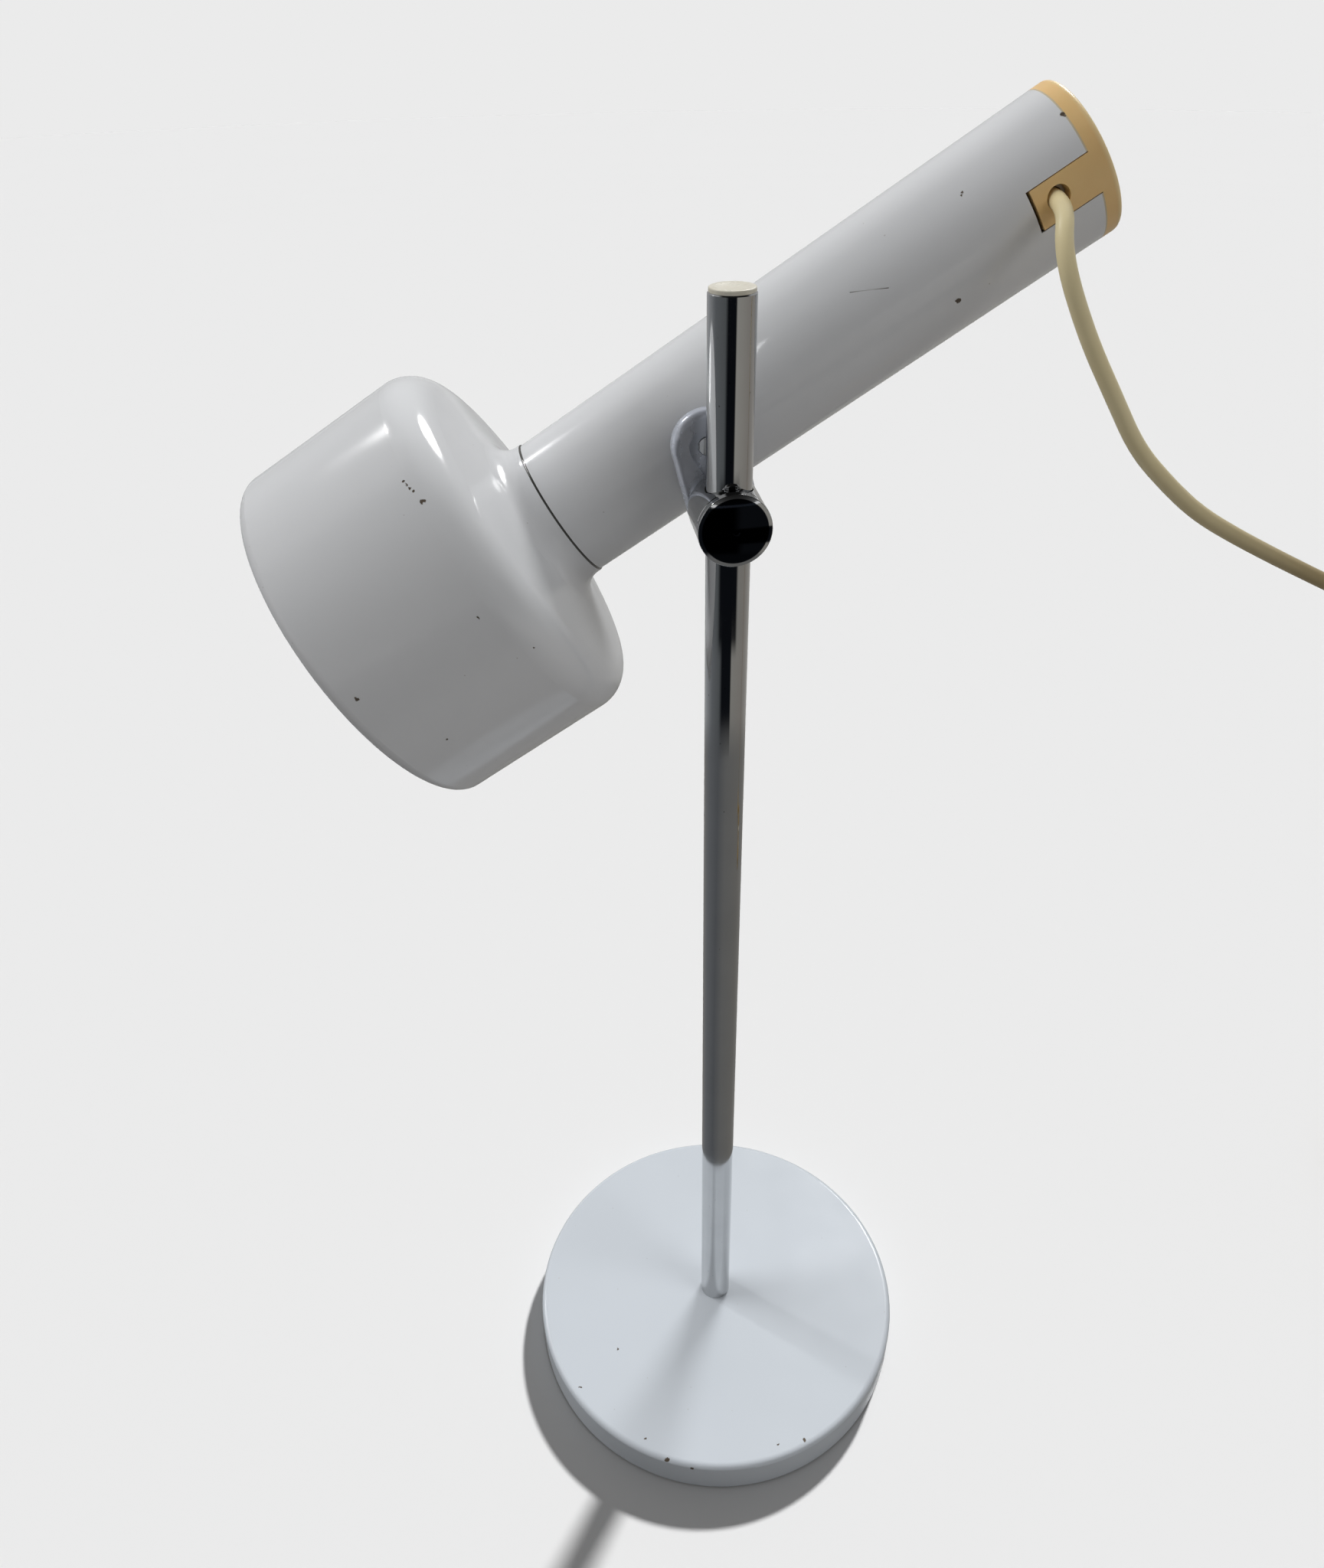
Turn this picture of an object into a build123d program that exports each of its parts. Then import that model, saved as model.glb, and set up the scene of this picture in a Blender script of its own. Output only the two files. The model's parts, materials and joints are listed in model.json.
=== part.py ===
from build123d import *
import math
import os

os.makedirs("parts", exist_ok=True)

# A desk lamp: a round weighted base, an upright rod, a clamp that slides and turns on the rod, a short swing
# arm behind it and a tubular head with a round shade. Millimetres, Z up, origin under the middle of the base.
# The rod stands on the Z axis and the clamp's knob points to -Y.

# Fits between pieces
running_gap = 0.05      # radial, where one piece turns or slides on another
press_gap = 0.02        # radial, where a piece is pressed or screwed into another
seat_gap = 0.05         # between faces that turn against each other

# Base
base_diameter = 175.0
base_height = 18.0
base_edge_radius = 2.5
cover_wall = 1.5
cover_lift = 0.8        # the painted rim stays clear of the table
pad_thickness = 2.5
pad_edge_gap = 0.5
ballast_edge_gap = 1.0
ballast_bevel = 2.0
base_bolt_radius = 4.0
base_bolt_flats = 13.0
base_bolt_head = 5.3
base_bolt_headroom = 0.7
base_bolt_grip = 11.0   # how far the bolt goes up into the rod
base_washer_radius = 12.0
base_washer_thickness = 2.0

# Rod
rod_diameter = 14.0
rod_wall = 1.5
rod_top = 491.0
rod_end_bevel = 0.4
insert_length = 15.0
plug_flange = 1.2
plug_stem = 10.0
plug_edge = 0.3         # how far the rod's end shows round the plug
plug_dish_radius = 5.0
plug_dish_depth = 0.6

# Clamp on the rod
clamp_height = 426.5
clamp_radius = 11.2
clamp_front = 8.9       # from the rod's axis to the front face
clamp_back = 9.3
clamp_flat = 9.8        # from the clamp's axis to the flats above and below it
clamp_bevel = 0.5
clamp_mouth_bevel = 0.9 # round the rod, where it enters
liner_wall = 0.5
liner_height = 13.0
liner_slot = 2.0
liner_lip = 0.25        # how far the bore's two ends close in over the liner
boss_radius = 5.4
boss_length = 1.8

# Knob
knob_radius = 11.3
knob_gap = 0.3
knob_thickness = 3.6
knob_dome = 1.2         # how much its face swells
knob_edge_radius = 0.25
knob_web = 0.5          # metal left over the stud's end
stud_radius = 3.0

# Swing arm
arm_thickness = 4.0
arm_end_radius = 11.1
arm_length = 19.0       # from the clamp's axis to the head's pivot
arm_lean = 14.4         # degrees from upright, towards the shade
arm_edge_radius = 2.2
arm_washer_thickness = 0.4
arm_washer_radius = 9.0
pocket_wide_radius = 5.8
pocket_narrow_radius = 2.3
pocket_depth = 1.4
pocket_end_wall = 1.0   # metal between the pocket and the clamp's spigot
spigot_radius = 5.0
counterbore_radius = 7.3
counterbore_depth = 1.8
disc_thickness = 1.2
disc_edge_gap = 0.2
wave_washer_thickness = 0.3
arm_screw_radius = 2.0
arm_screw_head_radius = 3.8
arm_screw_length = 5.2
arm_screw_slot = 0.8

# Head pivot
pivot_radius = 3.0
pivot_washer_thickness = 0.4
saddle_radius = 8.0
saddle_web = 1.2        # the outer saddle at its thinnest
inner_saddle_web = 2.5  # the inner saddle at its thickest
spring_washer_radius = 6.0
spring_washer_thickness = 0.8
nut_flats = 10.0
nut_thickness = 5.0
pivot_past_nut = 1.2
pivot_dome = 0.3        # how far the riveted end stands up in the arm's pocket

# Head tube
head_tilt = 31.5        # degrees, the rear end up
tube_radius = 23.5
tube_wall = 1.0
tube_ahead = 51.6       # from the pivot to the seam at the shade
tube_behind = 130.9     # from the pivot to the seam at the rear cap

# Shade
shade_wall = 1.2
shade_step = 0.4        # how far the neck stands out round the tube
neck_corner = 0.6
neck_straight = 0.8
neck_fillet = 7.6
back_cone = 8.2         # degrees
shade_radius = 62.5
shoulder_fillet = 12.6
mouth_radius = 62.9
shade_depth = 81.6
lip_radius = 4.2
lip_return = 0.6

# Lampholder
neck_ring_length = 8.0
holder_skirt_radius = 19.0
holder_skirt_gap = 0.2
holder_skirt_ahead = 6.9    # past the seam, towards the bulb
holder_flange_radius = 21.3
holder_flange = 2.5
holder_barrel_radius = 17.5
holder_barrel = 21.0
holder_tail_radius = 12.0
holder_tail = 4.5
holder_floor = 8.0          # porcelain behind the socket
shade_ring_length = 3.2
shade_ring_radius = 21.9
thread_shell_wall = 0.5
thread_shell_length = 23.0
contact_radius = 3.5
contact_height = 2.0

# Bulb
bulb_cap_radius = 13.1
bulb_cap_length = 24.0
bulb_cap_wall = 0.4
bulb_tip_height = 2.2
bulb_radius = 27.5
bulb_length = 97.0
bulb_neck_radius = 12.4
bulb_neck_fillet = 22.0
bulb_neck_inside = 6.0      # glass inside the metal cap
bulb_wall = 0.8

# Rear cap
cap_rim = 5.2
cap_edge_radius = 1.5
cap_wall = 3.0
cap_recess = 1.2
cap_lip = 2.0
cap_skirt = 12.0
cap_skirt_wall = 2.0
tongue_length = 18.2
tongue_width = 11.7
tongue_depth = 4.5
tongue_angle = 3.55     # degrees from the front, towards the top
tongue_front_gap = 1.0
tongue_side_gap = 0.3
cord_hole_radius = 3.4
cord_hole_back = 11.6   # from the rear seam to the cord's hole

# Switch
button_radius = 7.0
button_gap = 0.1
button_proud = 2.8
button_travel = 2.0
button_edge = 0.8
button_inside = 1.5     # how far the button reaches in past the cap's wall
stem_radius = 3.0
stem_length = 12.0
stem_headroom = 0.3
switch_radius = 9.5
switch_length = 20.0
switch_flange = 2.0
switch_flange_half = 15.0
switch_flange_width = 12.0
switch_screw_spread = 12.0
switch_screw_radius = 1.25
switch_screw_head_radius = 2.3
switch_screw_head = 1.4
switch_screw_grip = 2.2
switch_screw_slot = 0.7

# Wires inside the head
core_radius = 1.0
wire_spread = 6.0
wire_into_holder = 4.0
wire_bend_far = 24.0    # behind the holder, where each wire begins to slope inwards
wire_bend_near = 8.0    # behind the holder, where it has come to the tube's middle
neutral_height = 11.0   # where the neutral wire passes the switch, from the tube's axis
neutral_past_switch = 4.0
switched_offset = 3.0   # the switched wire's place on the switch's back
switched_run = 14.0
grip_radius = 5.0
grip_length = 6.5

# Mains cord, 1.8 m long
cord_diameter = 5.0
cord_inside = 6.0       # cord inside the cap, from the tongue's inner face
cord_straight_out = 5.6 # from the tube's surface to the first corner

# The cord's free stretch: the corners of its route after the two that the hole gives
lead_route = [
    (91.2, -3.3, 497.0),
    (100.3, -7.8, 476.4),
    (110.6, -11.3, 459.3),
    (120.0, -12.9, 444.5),
    (131.5, -13.7, 433.5),
    (143.9, -14.0, 423.4),
    (158.7, -14.2, 414.9),
    (175.4, -14.5, 406.3),
    (193.9, -14.9, 397.2),
    (213.9, -15.2, 387.6),
    (234.0, -15.6, 375.6),
    (252.8, -16.2, 359.4),
    (269.4, -17.0, 338.4),
    (283.4, -17.8, 312.2),
    (295.0, -18.4, 281.0),
    (304.6, -19.0, 246.0),
    (314.0, -21.0, 208.6),
    (324.0, -26.0, 170.0),
    (334.5, -33.0, 132.2),
    (345.5, -40.0, 97.0),
    (355.5, -43.0, 65.2),
    (362.5, -38.5, 37.0),
    (364.2, -21.0, 14.0),
]
lead_landing = 17.0     # the last run, flat along the table, before the coil

# The rest of the cord, wound up as for storage
coil_start = (364.4, 17.0)  # where the first turn begins
coil_inner_radius = 21.4
coil_half_turns = 6     # in each of its two layers, besides the half turn that climbs
coil_gap = 0.6          # between the turns
tie_thickness = 0.6
tie_width = 5.0
tie_gap = 0.35
tie_corner = 2.0

# Plug on the cord's end
plug_width = 35.0
plug_height = 13.6
plug_length = 27.0
plug_corner = 6.0
plug_rounding = 2.0
plug_run = 38.0         # from the coil to the plug's strain relief
tail_drop = 18.0        # the stretch of it that comes down to the plug's height
tail_bend = 40.0
relief_length = 24.0
relief_root_radius = 5.2
relief_tip_radius = 3.4
relief_rib = 1.6
relief_groove = 0.4
cord_in_plug = 15.0
pin_radius = 2.0
pin_length = 19.0
pin_spacing = 18.6
pin_inside = 8.0
pin_round = 0.8
sleeve_length = 10.0
sleeve_wall = 0.35

# Heights and places that follow from the sizes
base_radius = base_diameter / 2
rod_radius = rod_diameter / 2
rod_bore = rod_radius - rod_wall
ballast_top = base_height - cover_wall
liner_inner = rod_radius + running_gap
liner_outer = liner_inner + liner_wall
clamp_bore = liner_outer + running_gap
clamp_mouth = clamp_bore - liner_lip
arm_front = clamp_back + arm_washer_thickness + 2 * seat_gap
arm_back = arm_front + arm_thickness
counterbore_floor = arm_back - counterbore_depth
spigot_end = counterbore_floor + wave_washer_thickness + 2 * seat_gap
disc_back = spigot_end + disc_thickness
pocket_floor = arm_front + pocket_depth
saddle_front = arm_back + pivot_washer_thickness + 2 * seat_gap
tube_axis_y = saddle_front + saddle_web + tube_radius
tube_bore = tube_radius - tube_wall
inner_saddle_back = tube_axis_y - tube_bore + inner_saddle_web
spring_washer_front = inner_saddle_back + seat_gap
nut_front = spring_washer_front + spring_washer_thickness + seat_gap
nut_back = nut_front + nut_thickness
lean = math.radians(arm_lean)
pivot_side = -arm_length * math.sin(lean)
pivot_rise = arm_length * math.cos(lean)
on_clamp = Pos(0, 0, clamp_height)
on_pivot = Pos(pivot_side, 0, clamp_height + pivot_rise)

# The head is drawn along X, its rear end at +X and its pivot at x = 0, round the tube's axis
head_place = Pos(pivot_side, tube_axis_y, clamp_height + pivot_rise) * Rot(0, -head_tilt, 0)
holder_rim = -tube_ahead - holder_skirt_ahead
holder_face = -tube_ahead + neck_ring_length
barrel_front = holder_face + holder_flange
barrel_back = barrel_front + holder_barrel
holder_back = barrel_back + holder_tail
socket_floor = holder_back - holder_floor
shell_outer = bulb_cap_radius + running_gap + thread_shell_wall
cap_face = tube_behind + cap_rim - cap_recess
cap_inside = cap_face - cap_wall
cord_hole_at = tube_behind - cord_hole_back
grip_outer = tube_radius - tongue_depth
grip_inner = grip_outer - grip_length
cord_end = grip_outer - cord_inside
switch_back = cap_inside - switch_length
turn_pitch = cord_diameter + coil_gap
coil_low = cord_diameter / 2 + tie_thickness + tie_gap
coil_high = coil_low + turn_pitch


def turned(points, axis=Axis.X):
    """A solid turned about an axis from (along, radius) points, or (radius, along) points for Y."""
    return revolve(make_face(Polyline(points, close=True)), axis)


def post(radius, start, end):
    """A round bar along Z."""
    return Pos(0, 0, start) * Cylinder(radius, end - start, align=(Align.CENTER, Align.CENTER, Align.MIN))


def bar_y(radius, start, end):
    """A round bar along Y."""
    return Rot(-90, 0, 0) * post(radius, start, end)


def bar_x(radius, start, end):
    """A round bar along X."""
    return Rot(0, 90, 0) * post(radius, start, end)


def hexagon(flats, height):
    """A six-sided head that stands on the XY plane."""
    return extrude(RegularPolygon(flats / 2, 6, major_radius=False), height)


def base_pieces():
    shell = post(base_radius, cover_lift, base_height)
    shell = fillet(shell.edges().group_by(Axis.Z)[-1], base_edge_radius)
    hollow = post(base_radius - cover_wall, cover_lift, ballast_top)
    hollow = fillet(hollow.edges().group_by(Axis.Z)[-1], max(base_edge_radius - cover_wall, 0.2))
    washer_bottom = pad_thickness + base_bolt_headroom + base_bolt_head
    recess_top = washer_bottom + base_washer_thickness
    bolt_hole = post(base_bolt_radius + press_gap, 0, base_height)
    ballast = post(base_radius - cover_wall - ballast_edge_gap, pad_thickness, ballast_top)
    ballast = chamfer(ballast.edges().group_by(Axis.Z)[-1], ballast_bevel)
    ballast -= post(base_washer_radius + base_bolt_headroom, pad_thickness, recess_top)
    bolt = post(base_bolt_radius, washer_bottom, base_height + base_bolt_grip)
    bolt += Pos(0, 0, washer_bottom - base_bolt_head) * hexagon(base_bolt_flats, base_bolt_head)
    return {
        "base_cover": shell - hollow - bolt_hole,
        "ballast": ballast - bolt_hole,
        "base_pad": post(base_radius - cover_wall - pad_edge_gap, 0, pad_thickness),
        "base_washer": post(base_washer_radius, washer_bottom, recess_top) - bolt_hole,
        "base_bolt": bolt,
    }


def rod_pieces():
    rod = post(rod_radius, base_height, rod_top)
    rod = chamfer(rod.edges().group_by(Axis.Z)[-1], rod_end_bevel)
    rod -= post(rod_bore, base_height, rod_top)
    insert = post(rod_bore - press_gap, base_height, base_height + insert_length)
    insert -= post(base_bolt_radius + press_gap, base_height, base_height + insert_length)
    plug = post(rod_radius - plug_edge, rod_top, rod_top + plug_flange)
    plug = fillet(plug.edges().group_by(Axis.Z)[-1], plug_flange / 3)
    plug += post(rod_bore - press_gap, rod_top - plug_stem, rod_top)
    ball = (plug_dish_radius**2 + plug_dish_depth**2) / (2 * plug_dish_depth)
    plug -= Pos(0, 0, rod_top + plug_flange - plug_dish_depth + ball) * Sphere(ball)
    return {"rod": rod, "rod_insert": insert, "rod_plug": plug}


def arm_screw(grow):
    """The countersunk screw along -Y, its head flush at the retaining disc's back, or its hole."""
    radius = arm_screw_radius + grow
    head = arm_screw_head_radius + grow
    length = arm_screw_length + grow
    screw = turned([(0, 0), (head, 0), (radius, radius - head), (radius, -length), (0, -length)], Axis.Y)
    return Pos(0, disc_back, 0) * screw


def clamp_pieces():
    body = bar_y(clamp_radius, -clamp_front, clamp_back)
    body = chamfer(body.edges().filter_by(GeomType.CIRCLE), clamp_bevel)
    slab = Box(4 * clamp_radius, 4 * clamp_radius, 2 * clamp_radius)
    for side in (1, -1):
        body -= Pos(0, 0, side * (clamp_flat + clamp_radius)) * slab
    body += bar_y(boss_radius, -clamp_front - boss_length, -clamp_front + clamp_bevel)
    body += bar_y(spigot_radius, clamp_back - clamp_bevel, spigot_end)
    body -= post(clamp_mouth, -clamp_radius, clamp_radius)
    body -= post(clamp_bore, -liner_height / 2 - seat_gap, liner_height / 2 + seat_gap)
    mouth = Cone(clamp_mouth, clamp_mouth + clamp_mouth_bevel, clamp_mouth_bevel)
    mouth = Pos(0, 0, clamp_flat - clamp_mouth_bevel / 2) * mouth
    body -= mouth
    body -= Rot(180, 0, 0) * mouth
    body -= bar_y(stud_radius + running_gap, -clamp_front - boss_length, 0)
    body -= arm_screw(press_gap)
    liner = post(liner_outer, -liner_height / 2, liner_height / 2)
    liner -= post(liner_inner, -liner_height / 2, liner_height / 2)
    liner -= Pos(0, liner_outer, 0) * Box(liner_slot, 2 * liner_outer, 2 * liner_height)
    washer = bar_y(arm_washer_radius, clamp_back + seat_gap, arm_front - seat_gap)
    wave = bar_y(counterbore_radius - disc_edge_gap, counterbore_floor + seat_gap, spigot_end - seat_gap)
    spigot_hole = bar_y(spigot_radius + press_gap, clamp_back, disc_back)
    keeper = bar_y(counterbore_radius - disc_edge_gap, spigot_end, disc_back)
    screw = arm_screw(0)
    across = 1.8 * arm_screw_radius
    for width, height in ((across, arm_screw_slot), (arm_screw_slot, across)):
        screw -= Pos(0, disc_back, 0) * Box(width, 2 * arm_screw_slot, height)
    return {
        "bore_liner": on_clamp * liner,
        "clamp_body": on_clamp * body,
        "arm_washer": on_clamp * (washer - spigot_hole),
        "wave_washer": on_clamp * (wave - spigot_hole),
        "retaining_disc": on_clamp * (keeper - arm_screw(press_gap)),
        "retaining_screw": on_clamp * screw,
    }


def knob_pieces():
    back = -clamp_front - knob_gap
    face = back - knob_thickness
    rim = face + knob_dome
    sides = Polyline((0, face), (0, back), (knob_radius, back), (knob_radius, rim))
    dome = TangentArc((0, face), (knob_radius, rim), tangent=(1, 0))
    half = make_face([*sides.edges(), *dome.edges()])
    half = fillet(half.vertices().group_by(Axis.X)[-1], knob_edge_radius)
    knob = revolve(half, Axis.Y)
    boss_room = -clamp_front - boss_length - knob_gap
    knob -= bar_y(boss_radius + knob_gap, boss_room, back)
    stud_end = face + knob_web
    knob -= bar_y(stud_radius + press_gap, stud_end, boss_room)
    stud = bar_y(stud_radius, stud_end, -liner_outer - seat_gap)
    return {"knob": on_clamp * knob, "knob_stud": on_clamp * stud}


def arm_pieces():
    upper = Vector(pivot_side, pivot_rise)
    stand = Rot(90, 0, 0)
    outline = SlotCenterToCenter(arm_length, 2 * arm_end_radius, rotation=90 + arm_lean)
    outline = Pos(upper.X / 2, upper.Y / 2) * outline
    arm = Pos(0, arm_back, 0) * stand * extrude(outline, arm_thickness)
    arm = fillet(arm.edges().group_by(Axis.Y)[0], min(arm_edge_radius, arm_thickness - 0.3))
    narrow = upper.normalized() * (spigot_radius + pocket_end_wall + pocket_narrow_radius)
    wide_end = Pos(upper.X, upper.Y) * Circle(pocket_wide_radius)
    narrow_end = Pos(narrow.X, narrow.Y) * Circle(pocket_narrow_radius)
    pocket = make_hull([*wide_end.edges(), *narrow_end.edges()])
    arm -= Pos(0, pocket_floor, 0) * stand * extrude(pocket, 2 * pocket_depth)
    arm -= bar_y(spigot_radius + running_gap, 0, arm_back)
    arm -= bar_y(counterbore_radius, counterbore_floor, arm_back)
    arm = on_clamp * arm - on_pivot * bar_y(pivot_radius + press_gap, 0, arm_back)
    stud = bar_y(pivot_radius, pocket_floor - pivot_dome, nut_back + pivot_past_nut)
    stud = chamfer(stud.edges().group_by(Axis.Y)[0], pivot_dome)
    spring = bar_y(spring_washer_radius, spring_washer_front, nut_front - seat_gap)
    spring -= bar_y(pivot_radius + press_gap, 0, nut_back)
    nut = Pos(0, nut_back, 0) * stand * hexagon(nut_flats, nut_thickness)
    nut -= bar_y(pivot_radius + press_gap, 0, nut_back)
    return {
        "swing_arm": arm,
        "pivot_stud": on_pivot * stud,
        "pivot_spring_washer": on_pivot * spring,
        "pivot_nut": on_pivot * nut,
    }


def saddle_pieces():
    hole = bar_y(pivot_radius + running_gap, 0, tube_axis_y)
    washer = bar_y(saddle_radius, arm_back + seat_gap, saddle_front - seat_gap) - hole
    block = bar_y(saddle_radius, saddle_front, tube_axis_y) - hole
    outer = block - Pos(0, tube_axis_y, 0) * bar_x(tube_radius, -2 * saddle_radius, 2 * saddle_radius)
    inner = block & Pos(0, tube_axis_y, 0) * bar_x(tube_bore, -2 * saddle_radius, 2 * saddle_radius)
    inner &= bar_y(2 * saddle_radius, 0, inner_saddle_back)
    turn = on_pivot * Rot(0, -head_tilt, 0)
    return {"pivot_washer": turn * washer, "outer_saddle": turn * outer, "inner_saddle": turn * inner}


def tongue(side_gap, front_gap, inside, outside):
    """The block that the cap's tongue is cut from, or its notch in the tube where it has gaps."""
    length = tongue_length + front_gap
    width = tongue_width + 2 * side_gap
    block = Box(length, outside - inside, width, align=(Align.MAX, Align.MAX, Align.CENTER))
    return Rot(-tongue_angle, 0, 0) * Pos(tube_behind, -inside, 0) * block


def cord_bar(radius, start, end):
    """A round bar along the cord's hole, between two distances from the tube's axis."""
    return Rot(-tongue_angle, 0, 0) * Pos(cord_hole_at, 0, 0) * bar_y(radius, -end, -start)


def tube_pieces():
    tube = bar_x(tube_radius, -tube_ahead, tube_behind) - bar_x(tube_bore, -tube_ahead, tube_behind)
    tube -= tongue(tongue_side_gap, tongue_front_gap, tube_bore - tube_wall, tube_radius + tube_wall)
    tube -= bar_y(pivot_radius + running_gap, -tube_axis_y, 0)
    ring = bar_x(tube_bore - press_gap, -tube_ahead, holder_face)
    ring -= bar_x(holder_skirt_radius + holder_skirt_gap, -tube_ahead, holder_face)
    return {"head_tube": head_place * tube, "neck_ring": head_place * ring}


def sideways(points, distance):
    """The corners of an open line moved to its right by that distance."""
    sides = []
    for (ax, ay), (bx, by) in zip(points[:-1], points[1:]):
        run = math.hypot(bx - ax, by - ay)
        ux = (bx - ax) / run
        uy = (by - ay) / run
        sides.append((ax + uy * distance, ay - ux * distance, ux, uy))
    moved = [sides[0][:2]]
    for (ax, ay, ux, uy), (bx, by, vx, vy) in zip(sides[:-1], sides[1:]):
        t = ((bx - ax) * vy - (by - ay) * vx) / (ux * vy - uy * vx)
        moved.append((ax + ux * t, ay + uy * t))
    ux, uy = sides[-1][2:]
    moved.append((points[-1][0] + uy * distance, points[-1][1] - ux * distance))
    return moved


def shade_pieces():
    neck_radius = tube_radius + shade_step
    cone = math.radians(back_cone)
    neck_end = neck_corner + neck_straight + neck_fillet * math.tan((math.pi / 2 - cone) / 2)
    side_start = neck_end + (shade_radius - neck_radius) * math.tan(cone)
    outer = [
        (0, holder_skirt_radius + holder_skirt_gap),
        (0, neck_radius),
        (neck_end, neck_radius),
        (side_start, shade_radius),
        (shade_depth, mouth_radius),
        (shade_depth, mouth_radius - lip_radius - lip_return),
    ]
    inner = sideways(outer, shade_wall)
    tight = max(neck_corner - shade_wall, 0.1)
    outer_line = FilletPolyline(*outer, radius=[neck_corner, neck_fillet, shoulder_fillet, lip_radius])
    inner_radii = [tight, neck_fillet + shade_wall, shoulder_fillet - shade_wall, lip_radius - shade_wall]
    inner_line = FilletPolyline(*inner, radius=inner_radii)
    flange_edge = Line(outer[0], inner[0])
    lip_edge = Line(outer[-1], inner[-1])
    edges = [*outer_line.edges(), *inner_line.edges(), *flange_edge.edges(), *lip_edge.edges()]
    shade = revolve(make_face(edges), Axis.X)
    return {"shade": head_place * Pos(-tube_ahead, 0, 0) * Rot(0, 180, 0) * shade}


def holder_pieces():
    body = turned(
        [
            (holder_rim, 0),
            (holder_rim, holder_skirt_radius),
            (holder_face, holder_skirt_radius),
            (holder_face, holder_flange_radius),
            (barrel_front, holder_flange_radius),
            (barrel_front, holder_barrel_radius),
            (barrel_back, holder_barrel_radius),
            (holder_back, holder_tail_radius),
            (holder_back, 0),
        ]
    )
    body -= bar_x(shell_outer + press_gap, holder_rim, socket_floor)
    for side in (1, -1):
        body -= Pos(0, 0, side * wire_spread) * bar_x(core_radius + press_gap, socket_floor, holder_back)
    shell = bar_x(shell_outer, socket_floor - thread_shell_length, socket_floor)
    shell -= bar_x(bulb_cap_radius + running_gap, holder_rim, socket_floor)
    contact = bar_x(contact_radius, socket_floor - contact_height, socket_floor)
    contact = fillet(contact.edges().group_by(Axis.X)[0], contact_height / 3)
    flange_inside = -tube_ahead - shade_wall
    ring = bar_x(shade_ring_radius, flange_inside - shade_ring_length, flange_inside)
    ring -= bar_x(holder_skirt_radius + press_gap, holder_rim, flange_inside)
    return {
        "holder_body": head_place * body,
        "holder_thread": head_place * shell,
        "centre_contact": head_place * contact,
        "shade_ring": head_place * ring,
    }


def glass_line(centre, neck_end, wall):
    """The bulb's outline from its tip to its neck's end, that wall inside the glass's surface."""
    ball = bulb_radius - wall
    neck = bulb_neck_radius - wall
    reach = bulb_radius + bulb_neck_fillet
    rise = bulb_neck_radius + bulb_neck_fillet
    along = math.sqrt(reach**2 - rise**2)
    join = Vector(centre + along * ball / reach, rise * ball / reach)
    bend_centre = Vector(centre + along, rise)
    foot = Vector(centre + along, neck)
    hollow = ((join + foot) * 0.5 - bend_centre).normalized() * (bulb_neck_fillet + wall)
    dome = ThreePointArc((centre - ball, 0), (centre, ball), join)
    throat = ThreePointArc(join, bend_centre + hollow, foot)
    straight = Line(foot, (neck_end, neck))
    return Wire([*dome.edges(), *throat.edges(), *straight.edges()])


def bulb_pieces():
    tip = socket_floor - contact_height
    cap_back = tip - bulb_tip_height
    cap_front = cap_back - bulb_cap_length
    bore = bulb_cap_radius - bulb_cap_wall
    cap = turned(
        [
            (tip, 0),
            (tip, contact_radius),
            (cap_back, bore - bulb_tip_height),
            (cap_back - bulb_tip_height, bulb_cap_radius),
            (cap_front, bulb_cap_radius),
            (cap_front, bore),
            (cap_back - bulb_tip_height - bulb_cap_wall, bore),
            (tip - bulb_cap_wall * 2, 0),
        ]
    )
    lines = []
    for wall in (0, bulb_wall):
        lines.append(glass_line(tip - bulb_length + bulb_radius, cap_front + bulb_neck_inside, wall))
    tip_edge = Line(lines[0] @ 0, lines[1] @ 0)
    neck_edge = Line(lines[0] @ 1, lines[1] @ 1)
    glass = make_face([*lines[0].edges(), *lines[1].edges(), *tip_edge.edges(), *neck_edge.edges()])
    glass = revolve(glass, Axis.X)
    return {"bulb_cap": head_place * cap, "bulb_glass": head_place * glass}


def rear_cap_pieces():
    rim = bar_x(tube_radius, tube_behind, tube_behind + cap_rim)
    rim = fillet(rim.edges().group_by(Axis.X)[-1], cap_edge_radius)
    skirt_outer = tube_bore - press_gap
    cap = rim + bar_x(skirt_outer, tube_behind - cap_skirt, tube_behind)
    cap -= bar_x(skirt_outer - cap_skirt_wall, tube_behind - cap_skirt, cap_inside)
    cap += tongue(0, 0, grip_outer, tube_radius + 1) & bar_x(tube_radius, 0, tube_behind)
    cap -= bar_x(tube_radius - cap_lip, cap_face, tube_behind + cap_rim)
    cap -= bar_x(button_radius + button_gap, cap_inside, cap_face)
    cap -= cord_bar(cord_hole_radius, grip_inner, tube_radius + 1)
    screw_hole = bar_x(switch_screw_radius + press_gap, cap_inside, cap_inside + switch_screw_grip)
    for side in (1, -1):
        cap -= Pos(0, 0, side * switch_screw_spread) * screw_hole
    grip = cord_bar(grip_radius, grip_inner, grip_outer)
    grip -= cord_bar(cord_diameter / 2 + press_gap, cord_end, grip_outer)
    grip -= cord_bar(2.2 * core_radius, grip_inner, cord_end)
    return {"rear_cap": head_place * cap, "cord_grip": head_place * grip}


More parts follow.
